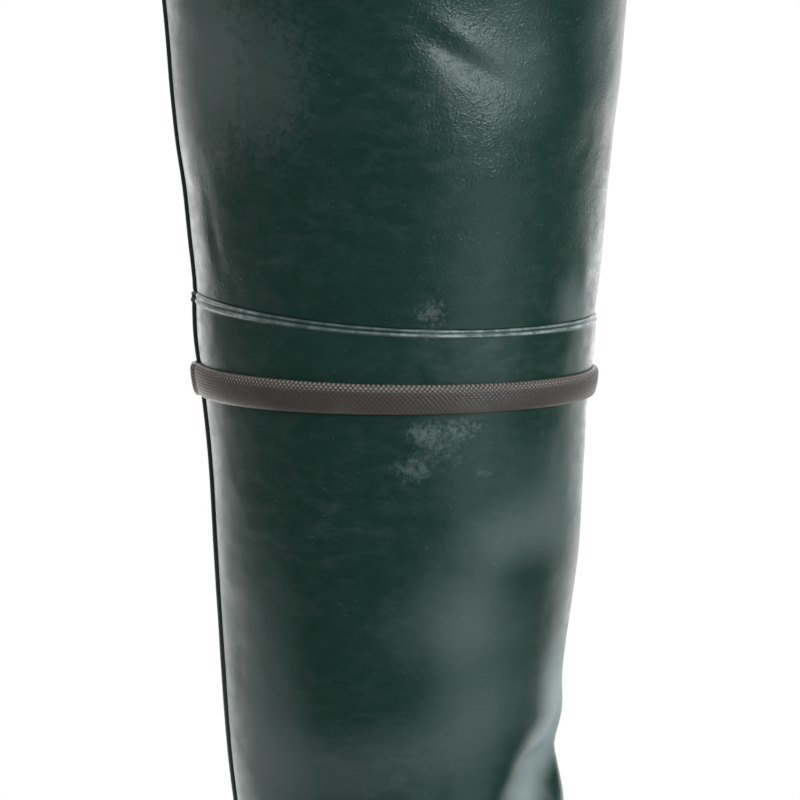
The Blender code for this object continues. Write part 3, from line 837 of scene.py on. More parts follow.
def smear_group() -> NodeGroup:
    """Faint smears that run round the leg, in clouds, and a few pale specks, from 0 to 1."""
    smear_scale, cloud_scale, speck_scale, flatten = 100.0, 16.0, 520.0, 2.3
    group = NodeGroup("smears", {"Vector": None}, ["Smears", "Specks"])
    nodes, start = group.nodes, group.start.outputs
    flat = nodes.vector("MULTIPLY", start["Vector"], (1.0, 1.0, flatten)).outputs[0]
    smear = nodes.ramp(nodes.noise(flat, smear_scale, 10.0, 0.72, Distortion=0.4), 0.40, 0.70)
    share = nodes.ramp(nodes.noise(start["Vector"], cloud_scale, 3.0), 0.30, 0.72, 0.25, 1.0)
    group.put("Smears", nodes.math("MULTIPLY", smear, share))
    group.put("Specks", nodes.ramp(nodes.noise(flat, speck_scale, 2.0), 0.70, 0.76))
    return group


def patch_group() -> NodeGroup:
    """Soft patch round a place on the piece, from 0 to 1: whole as Glow, broken up by noise as Mask."""
    noise_share, edge_width = 0.45, 0.20
    inputs = {"Vector": None, "Centre": None, "Reach": None, "Breakup": 120.0, "Threshold": 0.5}
    group = NodeGroup("mark_and_sheen_patch", inputs, ["Mask", "Glow"])
    nodes, start = group.nodes, group.start.outputs
    offset = nodes.vector("SUBTRACT", start["Vector"], start["Centre"]).outputs[0]
    shares = nodes.vector("DIVIDE", offset, start["Reach"]).outputs[0]
    glow = nodes.ramp(nodes.vector("LENGTH", shares).outputs["Value"], 0.0, 1.0, 1.0, 0.0)
    noise = nodes.noise(start["Vector"], start["Breakup"], 8.0, 0.7)
    high = nodes.math("MULTIPLY_ADD", glow, noise_share, noise)
    edge = nodes.math("ADD", start["Threshold"], edge_width)
    links = {"Value": high, "From Min": start["Threshold"], "From Max": edge}
    group.put("Mask", nodes.math("MULTIPLY", nodes.add("MapRange", links).outputs[0], glow))
    group.put("Glow", glow)
    return group


def knit_group() -> NodeGroup:
    """Rows of knitted loops on a UV map in metres, as a height from 0 to 1."""
    group = NodeGroup("knit", {"Vector": None, "Pitch": 0.0014}, ["Height"])
    nodes, start = group.nodes, group.start.outputs
    parts = nodes.add("SeparateXYZ", {0: start["Vector"]}).outputs
    across = nodes.math("DIVIDE", parts[0], start["Pitch"])
    along = nodes.math("DIVIDE", parts[1], start["Pitch"])
    wale = nodes.math("MULTIPLY", across, 2 * math.pi)
    lean = nodes.math("ABSOLUTE", nodes.math("SINE", nodes.math("MULTIPLY", across, math.pi)))
    course = nodes.math("MULTIPLY", nodes.math("ADD", along, lean), 2 * math.pi)
    high = nodes.math("MULTIPLY_ADD", nodes.math("COSINE", wale), 0.25, 0.5)
    group.put("Height", nodes.math("MULTIPLY_ADD", nodes.math("SINE", course), 0.25, high))
    return group


def dust_group() -> NodeGroup:
    """Pale dust that gathers in patches, from 0 to 1."""
    patch_scale = 30.0
    group = NodeGroup("dust", {"Vector": None, "Amount": 0.3}, ["Mask"])
    nodes, start = group.nodes, group.start.outputs
    mask = nodes.ramp(nodes.noise(start["Vector"], patch_scale, 7.0), 0.45, 0.75)
    group.put("Mask", nodes.math("MULTIPLY", mask, start["Amount"]))
    return group


@dataclass(frozen=True)
class Patch:
    """A whitish patch on the rubber: its place, its reach and how broken up it is.

    They are chalk marks, painted sheen where soft reflections fall, and painted highlights: one with
    painted_highlight set takes the pale colour of wear, any other the whitish haze colour.
    """

    centre: Triple
    reach: Triple
    breakup: float
    threshold: float
    strength: float
    painted_highlight: bool = False


BOOT_MARKS_AND_SHEEN = (
    # chalk marks beside the band
    Patch((0.047, -0.062, 0.338), (0.017, 0.030, 0.011), 480.0, 0.79, 0.42),
    Patch((0.060, -0.062, 0.3385), (0.036, 0.030, 0.012), 640.0, 0.83, 0.50),
    Patch((0.052, -0.062, 0.331), (0.030, 0.030, 0.020), 520.0, 0.85, 0.34),
    Patch((0.043, -0.062, 0.3245), (0.021, 0.030, 0.013), 480.0, 0.81, 0.32),
    Patch((0.068, -0.062, 0.323), (0.016, 0.030, 0.009), 560.0, 0.81, 0.34),
    Patch((0.049, -0.062, 0.374), (0.016, 0.030, 0.007), 560.0, 0.80, 0.44),
    # painted sheen: whitish haze on the shin, where soft reflections of the floor fall
    Patch((0.089, -0.030, 0.301), (0.034, 0.060, 0.021), 30.0, 0.10, 0.34),
    Patch((0.098, -0.030, 0.316), (0.032, 0.060, 0.030), 30.0, 0.10, 0.22),
    Patch((0.074, -0.040, 0.297), (0.026, 0.050, 0.016), 30.0, 0.10, 0.16),
    Patch((0.0625, -0.050, 0.279), (0.028, 0.050, 0.030), 30.0, 0.10, 0.18),
    Patch((0.052, -0.050, 0.265), (0.032, 0.050, 0.024), 30.0, 0.10, 0.17),
    Patch((0.076, -0.050, 0.260), (0.034, 0.050, 0.024), 30.0, 0.10, 0.17),
    Patch((0.074, -0.050, 0.237), (0.040, 0.050, 0.021), 30.0, 0.10, 0.20),
    Patch((0.055, -0.050, 0.223), (0.042, 0.050, 0.017), 30.0, 0.10, 0.15),
    Patch((0.020, -0.050, 0.212), (0.070, 0.050, 0.022), 30.0, 0.30, 0.15),
    # painted sheen low on the calf's back, standing in for a soft reflection
    Patch((-0.024, -0.035, 0.230), (0.036, 0.060, 0.095), 40.0, 0.30, 0.42),
    Patch((-0.010, -0.035, 0.205), (0.034, 0.060, 0.045), 40.0, 0.30, 0.22),
    # painted highlight: a pale band along the fold at the ankle, in the pale colour of wear
    Patch((0.0965, -0.020, 0.233), (0.010, 0.050, 0.032), 60.0, 0.10, 0.80, True),
    Patch((0.0930, -0.025, 0.2165), (0.011, 0.050, 0.014), 60.0, 0.10, 0.80, True),
    Patch((0.0885, -0.025, 0.2075), (0.012, 0.050, 0.011), 60.0, 0.10, 0.80, True),
    Patch((0.0840, -0.025, 0.1975), (0.013, 0.050, 0.013), 60.0, 0.10, 0.74, True),
)
# where the tube is more wrinkled, round the knee's dent
KNEE = Patch((0.066, -0.045, 0.474), (0.050, 0.050, 0.070), 1.0, 0.0, 0.42)

TUBE_MARKS_AND_SHEEN = (
    # painted sheen: grey haze towards the tube's back, at the knee's height
    Patch((-0.028, -0.030, 0.475), (0.030, 0.050, 0.070), 300.0, 0.52, 0.50),
    Patch((-0.010, -0.050, 0.465), (0.042, 0.050, 0.060), 420.0, 0.62, 0.20),
    # a small broken-up pale patch just above the collar
    Patch((0.0485, -0.064, 0.3805), (0.018, 0.030, 0.017), 640.0, 0.84, 0.40),
    # painted highlight round the knee's dent
    Patch((0.062, -0.050, 0.466), (0.024, 0.040, 0.020), 40.0, 0.20, 0.24),
    Patch((0.076, -0.045, 0.466), (0.024, 0.040, 0.034), 200.0, 0.34, 0.28),
    # painted highlight near the leg's front edge, just above the collar and at the knee
    Patch((0.103, -0.030, 0.379), (0.013, 0.060, 0.020), 60.0, 0.20, 0.44),
    Patch((0.110, -0.030, 0.474), (0.012, 0.060, 0.044), 60.0, 0.20, 0.16),
)


def principled(name: str) -> tuple[bpy.types.Material, Sockets, bpy.types.Node]:
    """Make a material and give its tree and its shader."""
    material = bpy.data.materials.new(name)
    material.use_nodes = True
    nodes = Sockets(material.node_tree)
    return material, nodes, material.node_tree.nodes["Principled BSDF"]


def object_vector(nodes: Sockets) -> bpy.types.NodeSocket:
    """Give the object coordinates."""
    return nodes.add("TexCoord").outputs["Object"]


@dataclass(frozen=True)
class RubberFinish:
    """Dark green moulded rubber, semi-gloss, with grain, smears, marks, a haze of painted sheen, painted
    highlights, and a painted shadow beside the seam.
    """

    name: str
    colour: Colour = (0.0100, 0.0410, 0.0290)
    pale: Colour = (0.0170, 0.0510, 0.0380)
    # whitish haze colour: smears, specks and chalk marks, and the painted sheen
    bloom_and_sheen: Colour = (0.2150, 0.2620, 0.2500)
    # pale colour of wear on the collar's lines, which also carries painted highlights
    wear_and_highlight_colour: Colour = (0.4800, 0.5500, 0.5300)
    # near-black painted shadow in the grooves beside the seam strip
    seam: Colour = (0.0008, 0.0010, 0.0009)
    roughness: float = 0.30
    wrinkle_scale: float = 230.0
    grain_depth: float = 0.20 * MM
    slow_depth: float = 1.5 * MM
    smears: float = 0.10
    specks: float = 0.22
    smear_roughness: float = 0.14
    mark_roughness: float = 0.35
    seam_shadow_roughness: float = 0.5
    seam_shadow_gloss: float = 0.04
    gloss: float = 0.5
    mottle: float = 0.35
    mottle_scale: float = 14.0
    chalk_scale: float = 150.0
    crinkle: Patch | None = None
    patches: tuple[Patch, ...] = ()

    def make(self, grain: NodeGroup, smear: NodeGroup, patch: NodeGroup) -> bpy.types.Material:
        """Build the material.

        Args:
            grain: The grain group.
            smear: The group of smears.
            patch: The patch group.

        Returns:
            The material.
        """
        material, nodes, shader = principled(self.name)
        vector = object_vector(nodes)
        mottle = nodes.ramp(nodes.noise(vector, self.mottle_scale, 5.0, 0.6), 0.35, 0.75)
        colour = nodes.mix(nodes.math("MULTIPLY", mottle, self.mottle), self.colour, self.pale)
        dirt = smear.use(nodes, {"Vector": vector}).outputs
        colour = nodes.mix(nodes.math("MULTIPLY", dirt["Smears"], self.smears), colour, self.bloom_and_sheen)
        colour = nodes.mix(nodes.math("MULTIPLY", dirt["Specks"], self.specks), colour, self.bloom_and_sheen)
        rough = nodes.math("MULTIPLY_ADD", dirt["Smears"], self.smear_roughness, self.roughness)
        # the collar's pale lines: wear, with a painted highlight over the shin and the calf's back
        colour = nodes.mix(self.edge_wear_and_highlight(nodes, vector), colour, self.wear_and_highlight_colour)
        # pale patches: chalk marks, painted sheen where soft reflections fall, and painted highlights in the
        # pale colour of wear
        for spot in self.patches:
            links = {
                "Vector": vector,
                "Centre": spot.centre,
                "Reach": spot.reach,
                "Breakup": spot.breakup,
                "Threshold": spot.threshold,
            }
            mark_and_sheen = patch.use(nodes, links)
            share = nodes.math("MULTIPLY", mark_and_sheen.outputs["Mask"], spot.strength)
            colour = nodes.mix(share, colour, self.wear_and_highlight_colour if spot.painted_highlight else self.bloom_and_sheen)
            rough = nodes.math("MULTIPLY_ADD", share, self.mark_roughness, rough)
        # painted shadow: the grooves beside the seam strip are painted near black, rougher and with less gloss
        seam = nodes.attribute("seam_shadow")
        colour = nodes.mix(seam, colour, self.seam)
        rough = nodes.math("MULTIPLY_ADD", seam, self.seam_shadow_roughness, rough)
        gloss = nodes.math("MULTIPLY_ADD", seam, self.seam_shadow_gloss - self.gloss, self.gloss)
        heights = grain.use(nodes, {"Vector": vector, "Wrinkle Scale": self.wrinkle_scale}).outputs
        wave = nodes.add("Bump", {"Height": heights["Slow"], "Distance": self.slow_depth})
        depth = self.grain_depth
        if self.crinkle:
            links = {"Vector": vector, "Centre": self.crinkle.centre, "Reach": self.crinkle.reach}
            near = patch.use(nodes, links).outputs["Glow"]
            depth = nodes.math("MULTIPLY_ADD", near, self.crinkle.strength * MM, self.grain_depth)
        links = {"Height": heights["Grain"], "Distance": depth, "Normal": wave.outputs[0]}
        bump = nodes.add("Bump", links).outputs[0]
        surface = {"Base Color": colour, "Roughness": rough, "Normal": bump, "Specular IOR Level": gloss}
        nodes.feed(shader, surface)
        return material

    def edge_wear_and_highlight(self, nodes: Sockets, vector: bpy.types.NodeSocket) -> bpy.types.NodeSocket:
        """Break the collar's pale lines up, and fade them over the middle of the calf. The lines are wear on
        the bead's ridges and partly a painted highlight, brightest over the shin and at the calf's back where
        the light catches them.

        Args:
            nodes: The material's tree.
            vector: Object coordinates.

        Returns:
            How strongly the pale lines of wear and painted highlight show.
        """
        chalk = nodes.ramp(nodes.noise(vector, self.chalk_scale, 6.0, 0.7), 0.36, 0.66, 0.2, 0.95)
        wear_and_highlight_lines = nodes.math("MULTIPLY", nodes.attribute("wear_and_highlight"), chalk)
        # painted highlight: the lines are strongest over the shin and at the calf's back
        along = nodes.add("SeparateXYZ", {"Vector": vector}).outputs["X"]
        shin = nodes.ramp(along, 26 * MM, 58 * MM, 0.34, 1.0)
        calf = nodes.ramp(along, -4 * MM, -20 * MM)
        return nodes.math("MULTIPLY", wear_and_highlight_lines, nodes.math("MAXIMUM", shin, calf))


@dataclass(frozen=True)
class TrimFinish:
    """Dark brown moulded rubber of the band and the sole, matt, with a little dust."""

    name: str
    colour: Colour = (0.0720, 0.0560, 0.0500)
    dust: Colour = (0.1700, 0.1450, 0.1300)
    # pale colour of the knurl's tips: a painted highlight
    tip: Colour = (0.42, 0.36, 0.335)
    roughness: float = 0.40
    dust_amount: float = 0.25
    grain_scale: float = 700.0
    grain_depth: float = 0.10 * MM

    def make(self, grain: NodeGroup, dust: NodeGroup) -> bpy.types.Material:
        """Build the material.

        Args:
            grain: The grain group.
            dust: The dust group.

        Returns:
            The material.
        """
        material, nodes, shader = principled(self.name)
        vector = object_vector(nodes)
        mask = dust.use(nodes, {"Vector": vector, "Amount": self.dust_amount}).outputs["Mask"]
        colour = nodes.mix(mask, self.colour, self.dust)
        # painted highlight on the knurl's tips towards the band's upper edge
        colour = nodes.mix(nodes.attribute("wear_and_highlight"), colour, self.tip)
        rough = nodes.math("MULTIPLY_ADD", mask, 0.3, self.roughness)
        links = {"Vector": vector, "Wrinkle Scale": self.grain_scale, "Pits": 0.8}
        height = grain.use(nodes, links).outputs["Grain"]
        bump = nodes.add("Bump", {"Height": height, "Distance": self.grain_depth}).outputs[0]
        nodes.feed(shader, {"Base Color": colour, "Roughness": rough, "Normal": bump})
        return material


@dataclass(frozen=True)
class KnitFinish:
    """Pale grey knitted lining, and the felt of the insole."""

    name: str
    colour: Colour = (0.30, 0.31, 0.29)
    shade: Colour = (0.17, 0.18, 0.17)
    pitch: float = 1.4 * MM
    depth: float = 0.3 * MM

    def make(self, knit: NodeGroup) -> bpy.types.Material:
        """Build the material from the knit group."""
        material, nodes, shader = principled(self.name)
        vector = nodes.add("UVMap").outputs[0]
        height = knit.use(nodes, {"Vector": vector, "Pitch": self.pitch}).outputs["Height"]
        colour = nodes.mix(height, self.shade, self.colour)
        bump = nodes.add("Bump", {"Height": height, "Distance": self.depth, "Strength": 0.8}).outputs[0]
        nodes.feed(shader, {"Base Color": colour, "Normal": bump, "Roughness": 0.95, "Sheen Weight": 0.3})
        return material


@dataclass(frozen=True)
class MetalFinish:
    """Dull nickel of the stud."""

    name: str
    dark: Colour = (0.42, 0.41, 0.39)
    light: Colour = (0.55, 0.54, 0.51)
    noise_scale: float = 900.0

    def make(self) -> bpy.types.Material:
        """Build the material."""
        material, nodes, shader = principled(self.name)
        noise = nodes.noise(object_vector(nodes), self.noise_scale, 4.0)
        rough = nodes.ramp(noise, 0.3, 0.7, 0.28, 0.42)
        colour = nodes.mix(noise, self.dark, self.light)
        nodes.feed(shader, {"Base Color": colour, "Roughness": rough, "Metallic": 1.0})
        return material


class Shell:
    """A closed wall wrapped round a form: out along one side, over the rim and back along the other."""

    def __init__(
        self, name: str, form: Form, rows: Sequence[RowSpec], creases: Sequence[Crease], columns: Columns
    ) -> None:
        """Keep what the wall is made from.

        Args:
            name: Name of the piece.
            form: Surface that it follows.
            rows: Rows of the wall, in order round its section.
            creases: Creases that move both of its sides.
            columns: Columns round the leg.
        """
        self.name = name
        self.form = form
        self.rows = np.array(list(rows) + [rows[0]])
        self.creases = creases
        self.columns = columns
        self.lengths = np.concatenate([[0.0], np.cumsum(self.row_steps())])
        self.shadow = self.wear_and_highlight_share = np.zeros(0)

    def points(self, column: Array, row: Array) -> Array:
        """Place the sheet's vertices, and keep each one's painted shadow and its share of the collar's pale
        lines, which are wear and partly painted highlight.
        """
        place, out, relief, wear_and_highlight_share = self.rows[row.astype(int)].T
        numbers = self.form.fields(place)
        angle, distance = self.columns.angles(numbers[4], numbers[8], column)
        points, normals = self.form.surface(place, angle)
        moved = out + relief * self.columns.strip.height(distance)
        for crease in self.creases:
            moved = moved + crease.height(points, normals)
        # painted shadow in the grooves beside the seam strip
        self.shadow = relief * self.columns.strip.shadow(distance)
        self.wear_and_highlight_share = wear_and_highlight_share
        return points + normals * moved[:, None]

    def build(self) -> bpy.types.Object:
        """Make the mesh of the wall.

        Returns:
            The piece, closed, with its faces outwards.
        """
        piece = add_sheet(self.name, self.columns.count, len(self.rows) - 1, self.points)
        # painted shadow beside the strip, and the collar's pale lines of wear and painted highlight, for the
        # material
        keep_values(piece, "seam_shadow", self.shadow)
        keep_values(piece, "wear_and_highlight", self.wear_and_highlight_share)
        set_uv(piece, math.pi * SIZES.calf_length, self.lengths)
        weld(piece)
        face_outwards(piece)
        return piece

    def row_steps(self) -> Array:
        """Measure the distance from row to row along the outer side."""
        place, out = self.rows.T[:2]
        side = np.full(len(place), -math.pi / 2)
        points, normals = self.form.surface(place, side)
        points = points + normals * out[:, None]
        return np.linalg.norm(np.diff(points, axis=0), axis=1)

    def line(self, piece: bpy.types.Object, material: bpy.types.Material, first: int) -> None:
        """Give the rows from one on to the inner side's material.

        Args:
            piece: The wall.
            material: Material of the lining.
            first: First row of the lining.
        """
        piece.data.materials.append(material)
        start, end = self.lengths[first], self.lengths[-2]
        layer = piece.data.uv_layers.active.data
        for polygon in piece.data.polygons:
            height = sum(layer[i].uv[1] for i in polygon.loop_indices) / polygon.loop_total
            if start < height < end:
                polygon.material_index = 1


def spread(low: float, high: float, count: int) -> list[float]:
    """Give so many even steps from low up to, and without, high."""
    return [low + (high - low) * i / count for i in range(count)]


def rim_rows(place: float, outer: float, inner: float, rise: float, count: int) -> list[RowSpec]:
    """Round a wall's edge from its outer side to its inner side.

    Args:
        place: Place of the edge on the form.
        outer: How far out its outer side lies.
        inner: How far out its inner side lies.
        rise: How far the round reaches past the place, in sections.
        count: Number of rows.

    Returns:
        The rows.
    """
    middle, half = (outer + inner) / 2, (outer - inner) / 2
    rows = []
    for i in range(count + 1):
        angle = math.pi * i / count
        rows.append(RowSpec(place + rise * math.sin(angle), middle + half * math.cos(angle), 0.0))
    return rows


class Ridge(NamedTuple):
    """A soft line round the collar: its height, and its way down and its half width in millimetres."""

    height: float
    down: float
    width: float

    def at(self, down: float) -> float:
        """Give its height at a distance below the collar's edge."""
        return self.height * math.exp(-(((down - self.down) / self.width) ** 2))


@dataclass
class LinedWall:
    """What the boot and the tube share: a rubber wall with creases and a knitted lining."""

    rubber: bpy.types.Material
    lining: bpy.types.Material
    creases: tuple[Crease, ...]

    def rows(self) -> tuple[list[RowSpec], int]:
        """List the rows of the wall.

        Returns:
            The rows, and the number of the first one inside.
        """
        raise NotImplementedError

    def build_wall(self, node: str, form: Form, slot: str) -> bpy.types.Object:
        """Make the wall.

        Args:
            node: CAD node that it stands for.
            form: Surface that it follows.
            slot: Material slot of the record that it takes; not used.

        Returns:
            The finished piece.
        """
        rows, first_inner = self.rows()
        shell = Shell(node + "_fine", form, rows, self.creases, Columns())
        piece = shell.build()
        piece.data.materials.append(self.rubber)
        shell.line(piece, self.lining, first_inner)
        finish_piece(piece, [node])
        return piece


@dataclass
class BootUpper(LinedWall):
    """Foot and leg of the boot, with its collar bead and the creases of its leg."""

    foot_rows: int = 110
    leg_rows: int = 66
    inner_rows: int = 70
    bead_height: float = 5.5 * MM
    bead_rows: int = 36
    seam_start: float = 1.9

    EDGE_THINNING = 0.95
    EDGE_REACH = 1.4
    RELIEF = (Ridge(0.22, 1.5, 0.5), Ridge(0.50, 3.5, 0.55))
    # the bead's pale lines: wear, and partly a painted highlight
    WEAR_AND_HIGHLIGHT = (Ridge(1.0, 1.2, 0.55), Ridge(1.2, 3.3, 0.5))

    def bead(self, down: float) -> tuple[float, float]:
        """Give the collar's relief in millimetres, and the share of its pale lines, wear and partly painted
        highlight, at a distance below its edge.
        """
        thinned = self.EDGE_THINNING * max(0.0, 1 - down / self.EDGE_REACH) ** 1.5
        relief = sum(ridge.at(down) for ridge in self.RELIEF)
        return relief - thinned, min(sum(line.at(down) for line in self.WEAR_AND_HIGHLIGHT), 1.0)

    def rows(self) -> tuple[list[RowSpec], int]:
        """List the rows of the wall.

        Returns:
            The rows, and the number of the first one inside.
        """
        collar = BOOT_FORM.last
        bead = BOOT_FORM.place_at(SIZES.boot_height - self.bead_height, FIRST_LEG)
        wall = -SIZES.boot_wall
        foot = spread(0.0, FIRST_LEG, self.foot_rows)
        rows = [RowSpec(place, 0.0, float(place > self.seam_start)) for place in foot]
        rows += [RowSpec(place, 0.0, 1.0) for place in spread(FIRST_LEG, bead, self.leg_rows)]
        reach = self.bead_height / MM
        for share in spread(0.0, 1.0, self.bead_rows) + [1.0]:
            out, wear_and_highlight_share = self.bead(reach * (1 - share))
            rows.append(RowSpec(bead + (collar - bead) * share, out * MM, 1.0 - share**40, wear_and_highlight_share))
        first_inner = len(rows)
        inner = spread(collar, 0.0, self.inner_rows)
        rows += [RowSpec(place, wall, 0.0) for place in inner]
        rows.append(RowSpec(0.0, wall, 0.0))
        return rows, first_inner

    def build(self) -> bpy.types.Object:
        """Make the boot.

        Returns:
            The finished piece.
        """
        return self.build_wall("boot_upper", BOOT_FORM, "boot_rubber")


@dataclass
class ThighTube(LinedWall):
    """Soft tube from inside the boot's collar to the hip, with its hem and its dents.

    The swell above the collar and the seam strip both start within a few hundredths of a section.
    """

    hidden_rows: int = 14
    open_rows: int = 150
    inner_rows: int = 60
    hem_height: float = 22.0 * MM
    hem_raise: float = 1.0 * MM
    collar_swell: float = 1.45 * MM
    swell_start: float = 0.034
    swell_end: float = 1.1
    seam_start: float = 0.03

    FIRST_ROWS = (0.0, 0.016, 0.032)
    HEM_STEP_MM = ((0.1, 0.0), (0.35, 0.15), (0.7, 0.75), (1.1, 1.0), (1.6, 1.0))
    EDGE_ROUND_MM = 1.1

    def rows(self) -> tuple[list[RowSpec], int]:
        """List the rows of the wall.

        Returns:
            The rows, and the number of the first one inside.
        """
        form = TUBE_FORM
        lowest = form.place_at(SIZES.boot_height - SIZES.tube_overlap)
        hem = form.place_at(SIZES.wader_height - self.hem_height)
        top = form.last
        wall = -SIZES.tube_wall
        rows = [RowSpec(place, 0.0, 0.0) for place in spread(lowest, TUBE_COLLAR, self.hidden_rows)]
        first = np.concatenate([self.FIRST_ROWS, np.linspace(0.05, 1.0, 24)[:-1]])
        above = np.concatenate([first, np.linspace(1.0, hem - TUBE_COLLAR, self.open_rows)])
        fade = 1 - smoothstep(0.0, self.swell_end, above)
        swell = self.collar_swell * smoothstep(0.0, self.swell_start, above) * fade
        relief = smoothstep(0.0, self.seam_start, above)
        rows += [RowSpec(TUBE_COLLAR + a, b, c) for a, b, c in zip(above, swell, relief)]
        step = MM * (top - hem) / self.hem_height
        for up, out in self.HEM_STEP_MM:
            rows.append(RowSpec(hem + up * step, out * self.hem_raise, 1.0 - out))
        edge = hem + self.HEM_STEP_MM[-1][0] * step
        for place in spread(edge, top - (self.EDGE_ROUND_MM + 0.1) * step, 14)[1:]:
            rows.append(RowSpec(place, self.hem_raise, 0.0))
        rim = top - self.EDGE_ROUND_MM * step
        rows += rim_rows(rim, self.hem_raise, wall, (self.EDGE_ROUND_MM - 0.05) * step, 8)
        first_inner = len(rows)
        rows += [RowSpec(place, wall, 0.0) for place in spread(hem, lowest, self.inner_rows)]
        rows.append(RowSpec(lowest, wall, 0.0))
        return rows, first_inner

    def build(self) -> bpy.types.Object:
        """Make the tube.

        Returns:
            The finished piece.
        """
        return self.build_wall("thigh_tube", TUBE_FORM, "tube_rubber")


@dataclass
class CalfBand:
    """Rounded band with a fine diamond knurl all round, deeper towards its upper edge, where the knurl's tips
    carry a painted highlight.
    """

    rubber: bpy.types.Material
    pitch: float = 1.65 * MM
    row_pitch: float = 2.1 * MM
    knurl: float = 0.21 * MM
    fullness: float = 3.0
    face_rows: int = 44
    samples: int = 6
    # how much painted highlight each knurl tip takes
    tips: Array | None = None

    DEPTHS = (0.4, 0.4, 0.6)
    DEEPER = ((0.15, 0.55), (0.70, 0.90))
    # rows where the knurl's tips take the painted highlight
    WEAR_AND_HIGHLIGHT = (0.66, 0.88)
    FLAT_EDGE = (0.92, 1.0)

    def build(self) -> bpy.types.Object:
        """Make the band.

        Returns:
            The finished piece.
        """
        middle = SIZES.boot_height - SIZES.band_drop
        low = BOOT_FORM.place_at(middle - SIZES.band_width / 2, FIRST_LEG)
        high = BOOT_FORM.place_at(middle + SIZES.band_width / 2, FIRST_LEG)
        dots = round(math.pi * (SIZES.calf_length + SIZES.calf_depth) / 2 / self.pitch)
        count = dots * self.samples
        strip = SeamStrip()
        step = np.linspace(0.0, 1.0, self.face_rows + 1)
        face = 0.5 - 0.5 * (0.35 * np.cos(np.pi * step) + 0.65 * (1 - 2 * step))
        shares = np.concatenate([face, [0.5]])

        def points(column: Array, row: Array) -> Array:
            index = row.astype(int) % len(shares)
            share = shares[index]
            angle = 2 * np.pi * column / count
            base, normal = BOOT_FORM.surface(low + (high - low) * share, angle)
            side = np.abs(2 * share - 1)
            swell = (1 - np.minimum(side, 1.0) ** self.fullness) ** (1 / self.fullness)
            up = (share - 0.5) * SIZES.band_width
            dot = np.cos(angle * dots) * np.cos(2 * np.pi * up / self.row_pitch)
            depth = self.DEPTHS[0] + sum(
                more * smoothstep(*stretch, share) for more, stretch in zip(self.DEPTHS[1:], self.DEEPER)
            )
            relief = self.knurl * depth * dot * (1 - smoothstep(*self.FLAT_EDGE, side))
            # painted highlight: pale knurl tips towards the upper edge
            self.tips = np.clip(dot, 0, 1) * smoothstep(*self.WEAR_AND_HIGHLIGHT, share) * (index < len(shares) - 1)
            out = np.where(index == len(shares) - 1, 0.0, SIZES.band_thickness * swell + relief)
            over = np.where(np.cos(angle) < 0, np.abs(base[:, 1]), 1.0)
            edge = smoothstep(strip.half_width - MM, strip.half_width + 3 * MM, over)
            rise = strip.raise_height * (1 - edge)
            return base + normal * (SIZES.gap + out + rise)[:, None]

        piece = add_sheet("calf_band_fine", count, len(shares), points)
        keep_values(piece, "wear_and_highlight", self.tips)
        weld(piece)
        face_outwards(piece)
        piece.data.materials.append(self.rubber)
        finish_piece(piece, ["calf_band"], angle=60.0)
        return piece


class SideRow(NamedTuple):
    """A line round the outsole's side: its height, and its way out as shares of the margin and the rib."""

    height: float
    out: float
    rib: float


